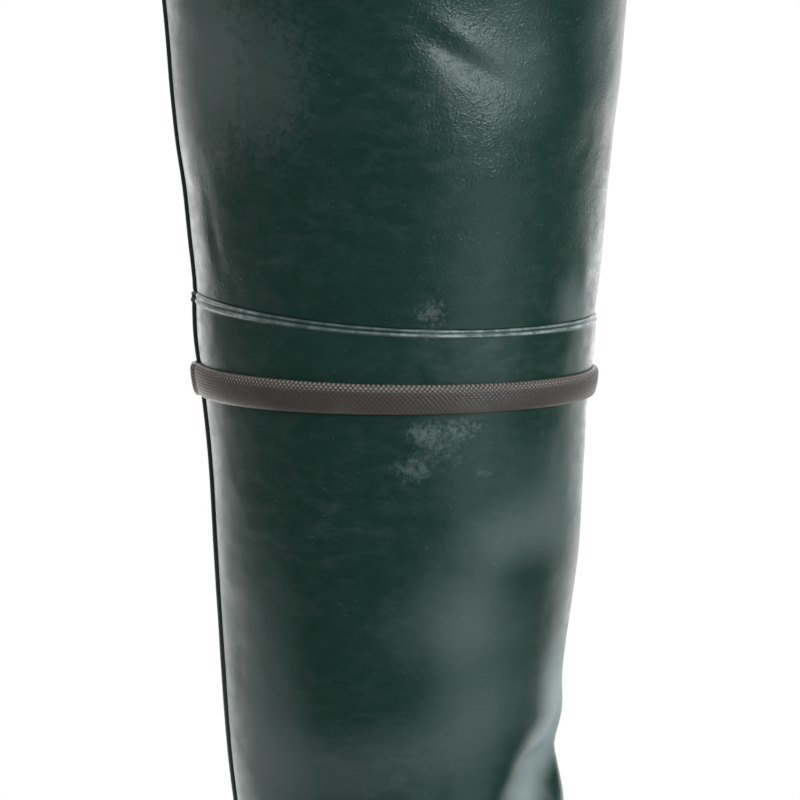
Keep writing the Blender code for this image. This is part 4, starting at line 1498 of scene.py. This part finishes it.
@dataclass
class Outsole:
    """Sole with heel, arch, toe spring, side rib, rolled lip and chevron lugs."""

    rubber: bpy.types.Material
    columns: Columns = Columns(regular=84, close=4)
    margin: float = 3.4 * MM
    rib: float = 1.0 * MM
    lip_wall: float = 2.2 * MM
    lug_depth: float = 4.5 * MM
    groove_width: float = 5.0 * MM
    groove_pitch: float = 17.0 * MM
    groove_turn: float = 20.0
    first_groove: float = 0.60
    forefoot_grooves: int = 7
    heel_pitch: float = 33.0 * MM
    arch_height: float = 13.0 * MM
    arch_end: float = 0.56
    heel_draft: float = 2.0 * MM
    edge_round: float = 0.45 * MM

    SIDE = (
        SideRow(0.00, 0.70, 0.0),
        SideRow(0.03, 0.86, 0.0),
        SideRow(0.06, 0.95, 0.0),
        SideRow(0.10, 1.00, 0.0),
        SideRow(0.22, 1.00, 0.0),
        SideRow(0.33, 1.00, 0.0),
        SideRow(0.345, 1.00, 0.3),
        SideRow(0.365, 1.00, 0.85),
        SideRow(0.39, 1.00, 1.0),
        SideRow(0.50, 1.00, 1.0),
        SideRow(0.525, 1.00, 0.85),
        SideRow(0.545, 1.00, 0.3),
        SideRow(0.56, 1.00, 0.0),
        SideRow(0.70, 0.98, 0.0),
        SideRow(0.84, 0.95, 0.0),
    )
    LIP_PLACE = 1.35
    TOE_RISE = 0.55
    HEEL_RISE = 0.30
    LIP = ((0.86, 1.00), (0.97, 0.97), (1.01, 0.82), (1.02, 0.50), (1.01, 0.18), (0.97, 0.0), (0.5, 0.0))
    INSETS = (0.9, 0.75, 0.6, 0.45, 0.3, 0.15, 0.0)

    def ring(self, share: float, out: float) -> tuple[Array, Array]:
        """Find a row of the upper's skin between its lower edge, 0, and the lip's end, 1.

        Args:
            share: Share of the way up to the lip's end.
            out: Distance out from the skin.

        Returns:
            The points, and the directions straight out from them.
        """
        column = np.arange(self.columns.count + 1.0)
        angle = self.columns.angles(np.full_like(column, 0.05), np.full_like(column, 0.7), column)[0]
        along = np.cos(angle)
        toe = self.TOE_RISE * smoothstep(0.45, 1.0, along)
        heel = self.HEEL_RISE * smoothstep(0.5, 1.0, -along)
        place = self.LIP_PLACE + toe + heel
        points, normals = BOOT_FORM.surface(place * share, angle)
        outward = normals * (1.0, 1.0, 0.0)
        outward /= np.linalg.norm(outward, axis=1, keepdims=True)
        return points + normals * out, outward

    def side_row(self, row: SideRow) -> Array:
        """Find a line round the outsole's side."""
        wall, outward = self.ring(1.0, 0.0)
        points = wall + outward * (SIZES.gap + row.out * self.margin + row.rib * self.rib)
        tread = tread_line(points[:, 0] + SIZES.heel_length / 2)
        points[:, 2] = tread + (wall[:, 2] - tread) * row.height
        return points

    @staticmethod
    def inset(points: Array, share: float, line: Callable[[Array], Array], drop: float) -> Array:
        """Draw a row in towards its middle line.

        Args:
            points: The row.
            share: Share of its width that it keeps.
            line: Height at distances from the heel's back.
            drop: Distance below that height.

        Returns:
            The new row.
        """
        middle = (points + points[::-1]) / 2
        moved = middle + (points - middle) * share
        moved[:, 2] = line(moved[:, 0] + SIZES.heel_length / 2) - drop
        return moved

    def grooves(self) -> list[float]:
        """List the tips of the grooves, from the heel's back."""
        forefoot = [
            self.first_groove * SIZES.foot_length + i * self.groove_pitch
            for i in range(self.forefoot_grooves)
        ]
        middle = SIZES.heel_length / 2
        return forefoot + [middle - self.heel_pitch / 2, middle + self.heel_pitch / 2]

    def cutter(self, outline: Array, shift: Vector) -> bpy.types.Object:
        """Draw a strip of faces out to a solid.

        Args:
            outline: Points of the strip, two for each row, shaped rows by 2 by 3.
            shift: Way to draw it out.

        Returns:
            The cutter.
        """
        piece = add_table("cutter", outline)
        pick(piece)
        bpy.ops.object.mode_set(mode="EDIT")
        bpy.ops.mesh.select_all(action="SELECT")
        bpy.ops.mesh.extrude_region_move(TRANSFORM_OT_translate={"value": shift})
        bpy.ops.mesh.select_all(action="SELECT")
        bpy.ops.mesh.remove_doubles(threshold=0.01 * MM)
        bpy.ops.mesh.normals_make_consistent(inside=False)
        bpy.ops.object.mode_set(mode="OBJECT")
        face_outwards(piece)
        return piece

    def cutters(self) -> list[bpy.types.Object]:
        """Make the wedge of the arch and the chevron grooves."""
        back = SIZES.heel_length / 2
        wide = SIZES.ball_width
        lean = math.tan(math.radians(self.groove_turn)) * wide
        end = self.arch_end * SIZES.foot_length
        run = (end - SIZES.heel_length) / self.arch_height
        corner = (SIZES.heel_length + self.heel_draft - back, -wide, self.arch_height)
        low = (SIZES.heel_length - back, -wide, -self.arch_height)
        far = (end + self.arch_height * run - back, -wide, -self.arch_height)
        pieces = [self.cutter(np.array([[low, far], [corner, corner]]), Vector((0.0, 2 * wide, 0.0)))]
        for tip in self.grooves():
            z = float(tread_line(np.array(tip))) - self.lug_depth
            rows = [
                [(tip + x - back, y, z), (tip + x + self.groove_width - back, y, z)]
                for x, y in ((-lean, -wide), (0.0, 0.0), (-lean, wide))
            ]
            pieces.append(self.cutter(np.array(rows), Vector((0.0, 0.0, 2 * self.lug_depth))))
        return pieces

    def build(self) -> bpy.types.Object:
        """Make the outsole.

        Returns:
            The finished piece.
        """
        sides = [self.side_row(row) for row in self.SIDE]
        tread = [self.inset(sides[0], share, tread_line, 0.0) for share in reversed(self.INSETS)]
        lip = [self.ring(share, SIZES.gap + out * self.lip_wall)[0] for share, out in self.LIP]
        seat_edge = self.ring(0.0, SIZES.gap)[0]
        seat = [self.inset(seat_edge, share, sole_line, SIZES.gap) for share in (1.0, *self.INSETS)]
        piece = add_table("outsole_fine", np.array(tread + sides + lip + [seat_edge] + seat))
        weld(piece)
        face_outwards(piece)
        cutters = self.cutters()
        for cutter in cutters:
            cut = piece.modifiers.new("cut", "BOOLEAN")
            cut.operation = "DIFFERENCE"
            cut.object = cutter
        add_bevel(piece, self.edge_round, 2, 50)
        apply_all(piece)
        for cutter in cutters:
            bpy.data.objects.remove(cutter)
        piece.data.materials.append(self.rubber)
        finish_piece(piece, ["outsole"], angle=35.0)
        return piece


@dataclass
class Insole:
    """Felt insole on the outsole's seat, with a rounded upper edge."""

    felt: bpy.types.Material
    thickness: float = 3.5 * MM
    clearance: float = 1.0 * MM

    EDGE = ((0.0, 0.0), (0.0, 0.7), (0.4, 0.92), (1.1, 1.0))
    INSETS = (0.9, 0.7, 0.5, 0.3, 0.15, 0.0)

    def build(self) -> bpy.types.Object:
        """Make the insole.

        Returns:
            The finished piece.
        """
        sole = Outsole(self.felt)
        out = -SIZES.boot_wall - self.clearance

        def row(inward: float, share: float, up: float) -> Array:
            edge = sole.ring(0.0, out - inward * MM)[0]
            return sole.inset(edge, share, sole_line, -up * self.thickness)

        rows = [row(0.0, share, 0.0) for share in reversed(self.INSETS)]
        rows += [row(inward, 1.0, up) for inward, up in self.EDGE]
        rows += [row(self.EDGE[-1][0], share, 1.0) for share in self.INSETS]
        piece = add_table("insole_fine", np.array(rows))
        layer = piece.data.uv_layers.active.data
        for polygon in piece.data.polygons:
            for i, vertex in zip(polygon.loop_indices, polygon.vertices):
                layer[i].uv = piece.data.vertices[vertex].co.xy
        weld(piece)
        face_outwards(piece)
        piece.data.materials.append(self.felt)
        finish_piece(piece, ["insole"])
        return piece


class StrapRow(NamedTuple):
    """A point of the strap's way down from the loop: its rise, and its way out in loop radii."""

    up: float
    out: float


@dataclass
class BeltStrap:
    """Patch under the hem, strap folded into a loop for the belt, and the stud that holds its end."""

    patch_rubber: bpy.types.Material
    strap_rubber: bpy.types.Material
    metal: bpy.types.Material
    patch_foot: float = 92 * MM
    patch_height: float = 62 * MM
    patch_thickness: float = 1.2 * MM
    patch_angles: tuple[float, float] = (-1.1861, -1.9555)
    width: float = 28 * MM
    thickness: float = 2.2 * MM
    foot: float = 80 * MM
    rise: float = 34 * MM
    join: float = 40 * MM
    tail: float = 66 * MM
    loop_radius: float = 9 * MM
    stud_radius: float = 6.5 * MM
    stud_thickness: float = 2 * MM
    stud_taper: float = 0.72
    stud_drop: float = 58 * MM
    stud_rim: float = 1.1 * MM
    stud_dish: float = 0.45 * MM
    stud_round: float = 0.25 * MM
    foot_steps: int = 12
    rise_steps: int = 6
    loop_steps: int = 24
    knot_steps: int = 8

    WAY_DOWN = (StrapRow(0.73, 1.90), StrapRow(0.33, 1.02), StrapRow(0.00, 0.00))

    def patch(self) -> bpy.types.Object:
        """Make the patch that carries the strap."""
        low = TUBE_FORM.place_at(SIZES.wader_height - self.patch_foot)
        high = TUBE_FORM.place_at(SIZES.wader_height - self.patch_foot + self.patch_height)
        across, along = 48, 34
        start, end = self.patch_angles

        def place(column: Array, row: Array) -> Array:
            angle = start + (end - start) * column / across
            points, normals = TUBE_FORM.surface(low + (high - low) * row / along, angle)
            return points + normals * SIZES.gap

        piece = add_sheet("strap_patch_fine", across, along, place)
        self.thicken(piece, self.patch_thickness, 1.0, Vector((0, -1, 0)))
        piece.data.materials.append(self.patch_rubber)
        finish_piece(piece, ["strap_patch"])
        return piece

    def thicken(self, piece: bpy.types.Object, thickness: float, offset: float, facing: Vector) -> None:
        """Give a sheet its thickness and round its edges.

        Args:
            piece: The sheet.
            thickness: Thickness of the finished piece.
            offset: 1 to grow outwards, 0 to grow both ways.
            facing: Direction that the first face of the sheet looks in.
        """
        if piece.data.polygons[0].normal.dot(facing) < 0:
            piece.data.flip_normals()
        wall = piece.modifiers.new("wall", "SOLIDIFY")
        wall.thickness = thickness
        wall.offset = offset
        wall.use_even_offset = True
        add_bevel(piece, 0.3 * thickness, 3, 60)
        apply_all(piece)

    def path(self) -> tuple[list[Vector], Vector, Vector]:
        """Find the strap's middle line.

        Returns:
            The points from the foot up, over the loop and down, the way out from the leg and the way up.
        """
        side = np.array([-math.pi / 2])
        away = 2 * SIZES.gap + self.patch_thickness + self.thickness / 2

        def beside_tube(place: float) -> Vector:
            points, normals = TUBE_FORM.surface(np.array([place]), side)
            return Vector(points[0] + normals[0] * away)

        foot = beside_tube(TUBE_FORM.place_at(SIZES.wader_height - self.foot))
        hem = beside_tube(TUBE_FORM.last)
        up = (hem - foot).normalized()
        out = Vector((0.0, -up.z, up.y)).normalized()
        centre = hem + up * self.rise + out * self.loop_radius
        rise_end = centre - out * self.loop_radius
        points = [foot.lerp(hem, share) for share in spread(0.0, 1.0, self.foot_steps)]
        points += [hem.lerp(rise_end, share) for share in spread(0.0, 1.0, self.rise_steps)]
        for i in range(self.loop_steps + 1):
            angle = math.pi * i / self.loop_steps
            points.append(centre + (up * math.sin(angle) - out * math.cos(angle)) * self.loop_radius)
        beside = out * (self.thickness + SIZES.gap)
        knots = [points[-2], points[-1]]
        for row in self.WAY_DOWN:
            height = -self.join + (self.rise + self.join) * row.up
            knots.append(hem + up * height + beside + out * row.out * self.loop_radius)
        last = hem - up * self.tail + beside
        knots += [last, last]
        for i in range(1, len(knots) - 2):
            for share in spread(0.0, 1.0, self.knot_steps)[1:] + [1.0]:
                points.append(self.between(knots[i - 1 : i + 3], share))
        return points, out, up

    @staticmethod
    def between(knots: Sequence[Vector], share: float) -> Vector:
        """Read a smooth curve between the middle two of four knots."""
        before, start, end, after = knots
        bend = 2 * before - 5 * start + 4 * end - after
        twist = after - before + 3 * (start - end)
        return start + 0.5 * share * ((end - before) + share * (bend + share * twist))

    def strap(self) -> bpy.types.Object:
        """Make the strap."""
        points, _, _ = self.path()
        table = np.array(points)
        across = 16
        count = len(points) - 1
        ends = np.minimum(np.arange(count + 1), count - np.arange(count + 1))
        half = self.width / 2 * np.where(ends == 0, 0.93, 1.0)

        def place(column: Array, row: Array) -> Array:
            index = row.astype(int)
            moved = table[index].copy()
            moved[:, 0] += (2 * column / across - 1) * half[index]
            return moved

        piece = add_sheet("belt_strap_fine", across, count, place)
        self.thicken(piece, self.thickness, 0.0, Vector((0, -1, 0)))
        piece.data.materials.append(self.strap_rubber)
        finish_piece(piece, ["belt_strap"])
        return piece

    def stud(self) -> bpy.types.Object:
        """Make the stud."""
        points, out, up = self.path()
        hem = points[self.foot_steps]
        base = hem - up * self.stud_drop + out * (1.5 * self.thickness + 2 * SIZES.gap)
        select_none()
        bpy.ops.mesh.primitive_cone_add(
            vertices=56,
            radius1=self.stud_radius,
            radius2=self.stud_radius * self.stud_taper,
            depth=self.stud_thickness,
            location=base + out * self.stud_thickness / 2,
            rotation=out.to_track_quat("Z", "Y").to_euler(),
        )
        piece = bpy.context.active_object
        piece.name = "strap_stud_fine"
        bpy.ops.object.mode_set(mode="EDIT")
        bpy.ops.mesh.select_mode(type="FACE")
        bpy.ops.mesh.select_all(action="DESELECT")
        bpy.ops.object.mode_set(mode="OBJECT")
        top = max(piece.data.polygons, key=lambda face: face.center.z)
        top.select = True
        bpy.ops.object.mode_set(mode="EDIT")
        bpy.ops.mesh.inset(thickness=self.stud_rim)
        bpy.ops.mesh.inset(thickness=0.5 * MM, depth=-self.stud_dish)
        bpy.ops.object.mode_set(mode="OBJECT")
        add_bevel(piece, self.stud_round, 3, 30)
        apply_all(piece)
        bpy.ops.object.transform_apply(location=True, rotation=True, scale=True)
        piece.data.materials.append(self.metal)
        finish_piece(piece, ["strap_stud"])
        return piece

    def build(self) -> None:
        """Make the patch, the strap and the stud."""
        self.patch()
        self.strap()
        self.stud()


class FloorLight(NamedTuple):
    """A sector of the floor that the rubber mirrors brightly.

    turn is its middle, from the camera's side towards the toe, half is its half width and soft is how
    far its sides fade to both ways, all in degrees. It reaches from the leg out to reach, in metres.
    """

    turn: float
    half: float
    soft: float
    strength: float
    reach: float


@dataclass
class Studio:
    """Pale floor, soft lights, a white surround and the camera."""

    target: Triple = (0.0378, 0.0, 0.3418)
    elevation: float = 7.4
    distance: float = 1.40
    view_height: float = 296.3 * MM
    sensor: float = 36.0
    floor_radius: float = 4.0
    light_height: float = 0.40
    white_from: tuple[float, float] = (0.22, 0.62)
    mirrored_from: tuple[float, float] = (0.14, 0.34)
    bounce_to: tuple[float, float] = (0.45, 0.22)
    bounce: float = 0.8
    cool: Colour = (0.84, 0.97, 1.00)
    lit_floor: tuple[FloorLight, ...] = (
        FloorLight(46.0, 15.0, 15.0, 0.90, floor_radius),
        FloorLight(164.0, 46.0, 26.0, 1.7, floor_radius),
        FloorLight(-160.0, 32.0, 11.0, 1.9, floor_radius),
        FloorLight(-114.0, 34.0, 28.0, 0.28, floor_radius),
        FloorLight(-146.0, 34.0, 20.0, 2.8, 1.15),
    )

    def camera(self) -> None:
        """Place the camera at the photograph's angle, looking at the calf from the outer side."""
        data = bpy.data.cameras.new("camera")
        camera = bpy.data.objects.new("camera", data)
        bpy.context.scene.collection.objects.link(camera)
        tilt = math.radians(self.elevation)
        back = Vector((0.0, -math.cos(tilt), math.sin(tilt)))
        camera.location = Vector(self.target) + back * self.distance
        camera.rotation_euler = back.to_track_quat("Z", "Y").to_euler()
        data.sensor_width = self.sensor
        data.lens = self.sensor * self.distance / self.view_height
        data.clip_start = 0.05
        data.clip_end = 50.0
        bpy.context.scene.camera = camera

    def floor(self) -> None:
        """Lay a pale round floor that can be seen from above only.

        The camera sees it fade to white, the rubber's reflections see the lit sectors and not the floor
        close to the leg, and the light that it throws up comes from near the leg.
        """
        select_none()
        bpy.ops.mesh.primitive_circle_add(vertices=96, radius=self.floor_radius, fill_type="NGON")
        floor = bpy.context.active_object
        floor.name = "floor"
        material, nodes, shader = principled("floor_paper")
        shader.inputs["Base Color"].default_value = (0.86, 0.86, 0.86, 1)
        shader.inputs["Roughness"].default_value = 0.9
        clear = nodes.add("BsdfTransparent")
        ray = nodes.add("LightPath").outputs
        spot = object_vector(nodes)
        far = nodes.vector("LENGTH", spot).outputs["Value"]
        white = nodes.add("Emission", {"Color": (1, 1, 1, 1), "Strength": 1.0})
        fade = nodes.math("MULTIPLY", nodes.ramp(far, *self.white_from), ray["Is Camera Ray"])
        seen = nodes.add("MixShader", {0: fade, 1: shader.outputs[0], 2: white.outputs[0]})
        front = nodes.ramp(nodes.add("SeparateXYZ", {"Vector": spot}).outputs["Y"], 0.2, -0.2)
        tint = nodes.mix(front, (1, 1, 1), self.cool)
        lit = nodes.add("Emission", {"Color": tint, "Strength": self.floor_glow(nodes, spot, far)})
        mirror = nodes.math("MULTIPLY", nodes.ramp(far, *self.mirrored_from), ray["Is Glossy Ray"])
        shown = nodes.add("MixShader", {0: mirror, 1: seen.outputs[0], 2: lit.outputs[0]})
        under = nodes.add("Emission", {"Color": (1, 1, 1, 1), "Strength": self.bounce})
        near = nodes.math("MULTIPLY", nodes.ramp(far, *self.bounce_to), ray["Is Diffuse Ray"])
        shown = nodes.add("MixShader", {0: near, 1: shown.outputs[0], 2: under.outputs[0]})
        below = nodes.add("NewGeometry").outputs["Backfacing"]
        mixed = nodes.add("MixShader", {0: below, 1: shown.outputs[0], 2: clear.outputs[0]})
        nodes.feed(material.node_tree.nodes["Material Output"], {0: mixed.outputs[0]})
        floor.data.materials.append(material)

    def floor_glow(
        self, nodes: Sockets, spot: bpy.types.NodeSocket, far: bpy.types.NodeSocket
    ) -> bpy.types.NodeSocket:
        """Work out how brightly each place of the floor is lit for reflections.

        Args:
            nodes: The floor material's tree.
            spot: The place.
            far: Its distance from the frame's origin.

        Returns:
            The strength, as a socket.
        """
        offset = nodes.vector("SUBTRACT", spot, (self.target[0], 0, 0)).outputs[0]
        way = nodes.vector("NORMALIZE", offset).outputs[0]
        glow = 0.0
        for light in self.lit_floor:
            middle = (math.sin(math.radians(light.turn)), -math.cos(math.radians(light.turn)), 0.0)
            towards = nodes.vector("DOT_PRODUCT", way, middle).outputs["Value"]
            outer, inner = (math.cos(math.radians(light.half + edge)) for edge in (light.soft, -light.soft))
            sector = nodes.ramp(towards, outer, inner, 0.0, light.strength)
            sector = nodes.math("MULTIPLY", sector, nodes.ramp(far, light.reach, 0.75 * light.reach))
            glow = nodes.math("MAXIMUM", glow, sector)
        return glow

    def softbox(
        self,
        name: str,
        turn: float,
        rise: float,
        distance: float,
        size: tuple[float, float],
        power: float,
        tint: Colour = (1.0, 1.0, 1.0),
    ) -> None:
        """Add a soft light that faces the leg.

        Args:
            name: Name of the light.
            turn: Angle from the camera's side towards the toe, in degrees.
            rise: Height of its middle.
            distance: Distance from the leg.
            size: Width and height.
            power: Power in watts.
            tint: Its colour.
        """
        data = bpy.data.lights.new(name, "AREA")
        data.shape = "RECTANGLE"
        data.size, data.size_y = size
        data.energy = power
        data.color = tint
        light = bpy.data.objects.new(name, data)
        bpy.context.scene.collection.objects.link(light)
        angle = math.radians(turn)
        centre = Vector((self.target[0], 0.0, self.light_height))
        way = Vector((math.sin(angle), -math.cos(angle), 0.0))
        light.location = centre + way * distance + Vector((0.0, 0.0, rise - self.light_height))
        light.rotation_euler = (light.location - centre).to_track_quat("Z", "Y").to_euler()
        light.visible_camera = False

    def surround(self) -> None:
        """Make the surround white to the camera and dim to everything else."""
        world = bpy.data.worlds.new("surround")
        bpy.context.scene.world = world
        world.use_nodes = True
        nodes = Sockets(world.node_tree)
        dim = world.node_tree.nodes["Background"]
        dim.inputs["Color"].default_value = (0.06, 0.06, 0.06, 1)
        white = nodes.add("Background", {"Color": (1, 1, 1, 1), "Strength": 1.0})
        ray = nodes.add("LightPath").outputs["Is Camera Ray"]
        mixed = nodes.add("MixShader", {0: ray, 1: dim.outputs[0], 2: white.outputs[0]})
        nodes.feed(world.node_tree.nodes["World Output"], {0: mixed.outputs[0]})

    def build(self) -> None:
        """Make everything round the wader."""
        self.camera()
        self.floor()
        self.surround()
        self.softbox("back_left_box", -154.0, 0.75, 1.5, (1.4, 1.4), 10.0)
        self.softbox("back_right_box", 152.0, 0.75, 1.5, (1.4, 1.4), 11.0)
        self.softbox("front_right_box", 40.0, 0.84, 1.5, (0.68, 0.72), 14.5, self.cool)
        self.softbox("front_left_box", -66.0, 1.25, 1.6, (1.3, 1.1), 6.0)
        self.softbox("overhead_box", 10.0, 2.00, 0.45, (1.0, 1.0), 9.0)
        bpy.context.scene.view_settings.view_transform = "Standard"


def main() -> None:
    """Build the wader's pieces in order, then the studio."""
    logging.basicConfig(level=logging.INFO, format="%(name)s: %(message)s")
    grain, smear, patch = grain_group(), smear_group(), patch_group()
    knit, dust = knit_group(), dust_group()
    boot_rubber = RubberFinish(
        "boot_rubber", wrinkle_scale=420.0, grain_depth=0.09 * MM, smears=0.08, patches=BOOT_MARKS_AND_SHEEN
    ).make(grain, smear, patch)
    tube_rubber = RubberFinish(
        "tube_rubber",
        wrinkle_scale=640.0,
        grain_depth=0.17 * MM,
        smears=0.07,
        crinkle=KNEE,
        patches=TUBE_MARKS_AND_SHEEN,
    ).make(grain, smear, patch)
    trim = TrimFinish("band_rubber").make(grain, dust)
    sole_rubber = TrimFinish("sole_rubber", roughness=0.5, dust_amount=0.35).make(grain, dust)
    strap_rubber = RubberFinish("strap_rubber", roughness=0.42).make(grain, smear, patch)
    lining = KnitFinish("knit_lining").make(knit)
    felt = KnitFinish("insole_felt", (0.24, 0.24, 0.22), (0.14, 0.14, 0.13), 0.9 * MM).make(knit)
    BootUpper(boot_rubber, lining, BOOT_CREASES).build()
    ThighTube(tube_rubber, lining, TUBE_CREASES).build()
    CalfBand(trim).build()
    Outsole(sole_rubber).build()
    Insole(felt).build()
    BeltStrap(tube_rubber, strap_rubber, MetalFinish("stud_steel").make()).build()
    Studio().build()


if __name__ == "__main__":
    main()
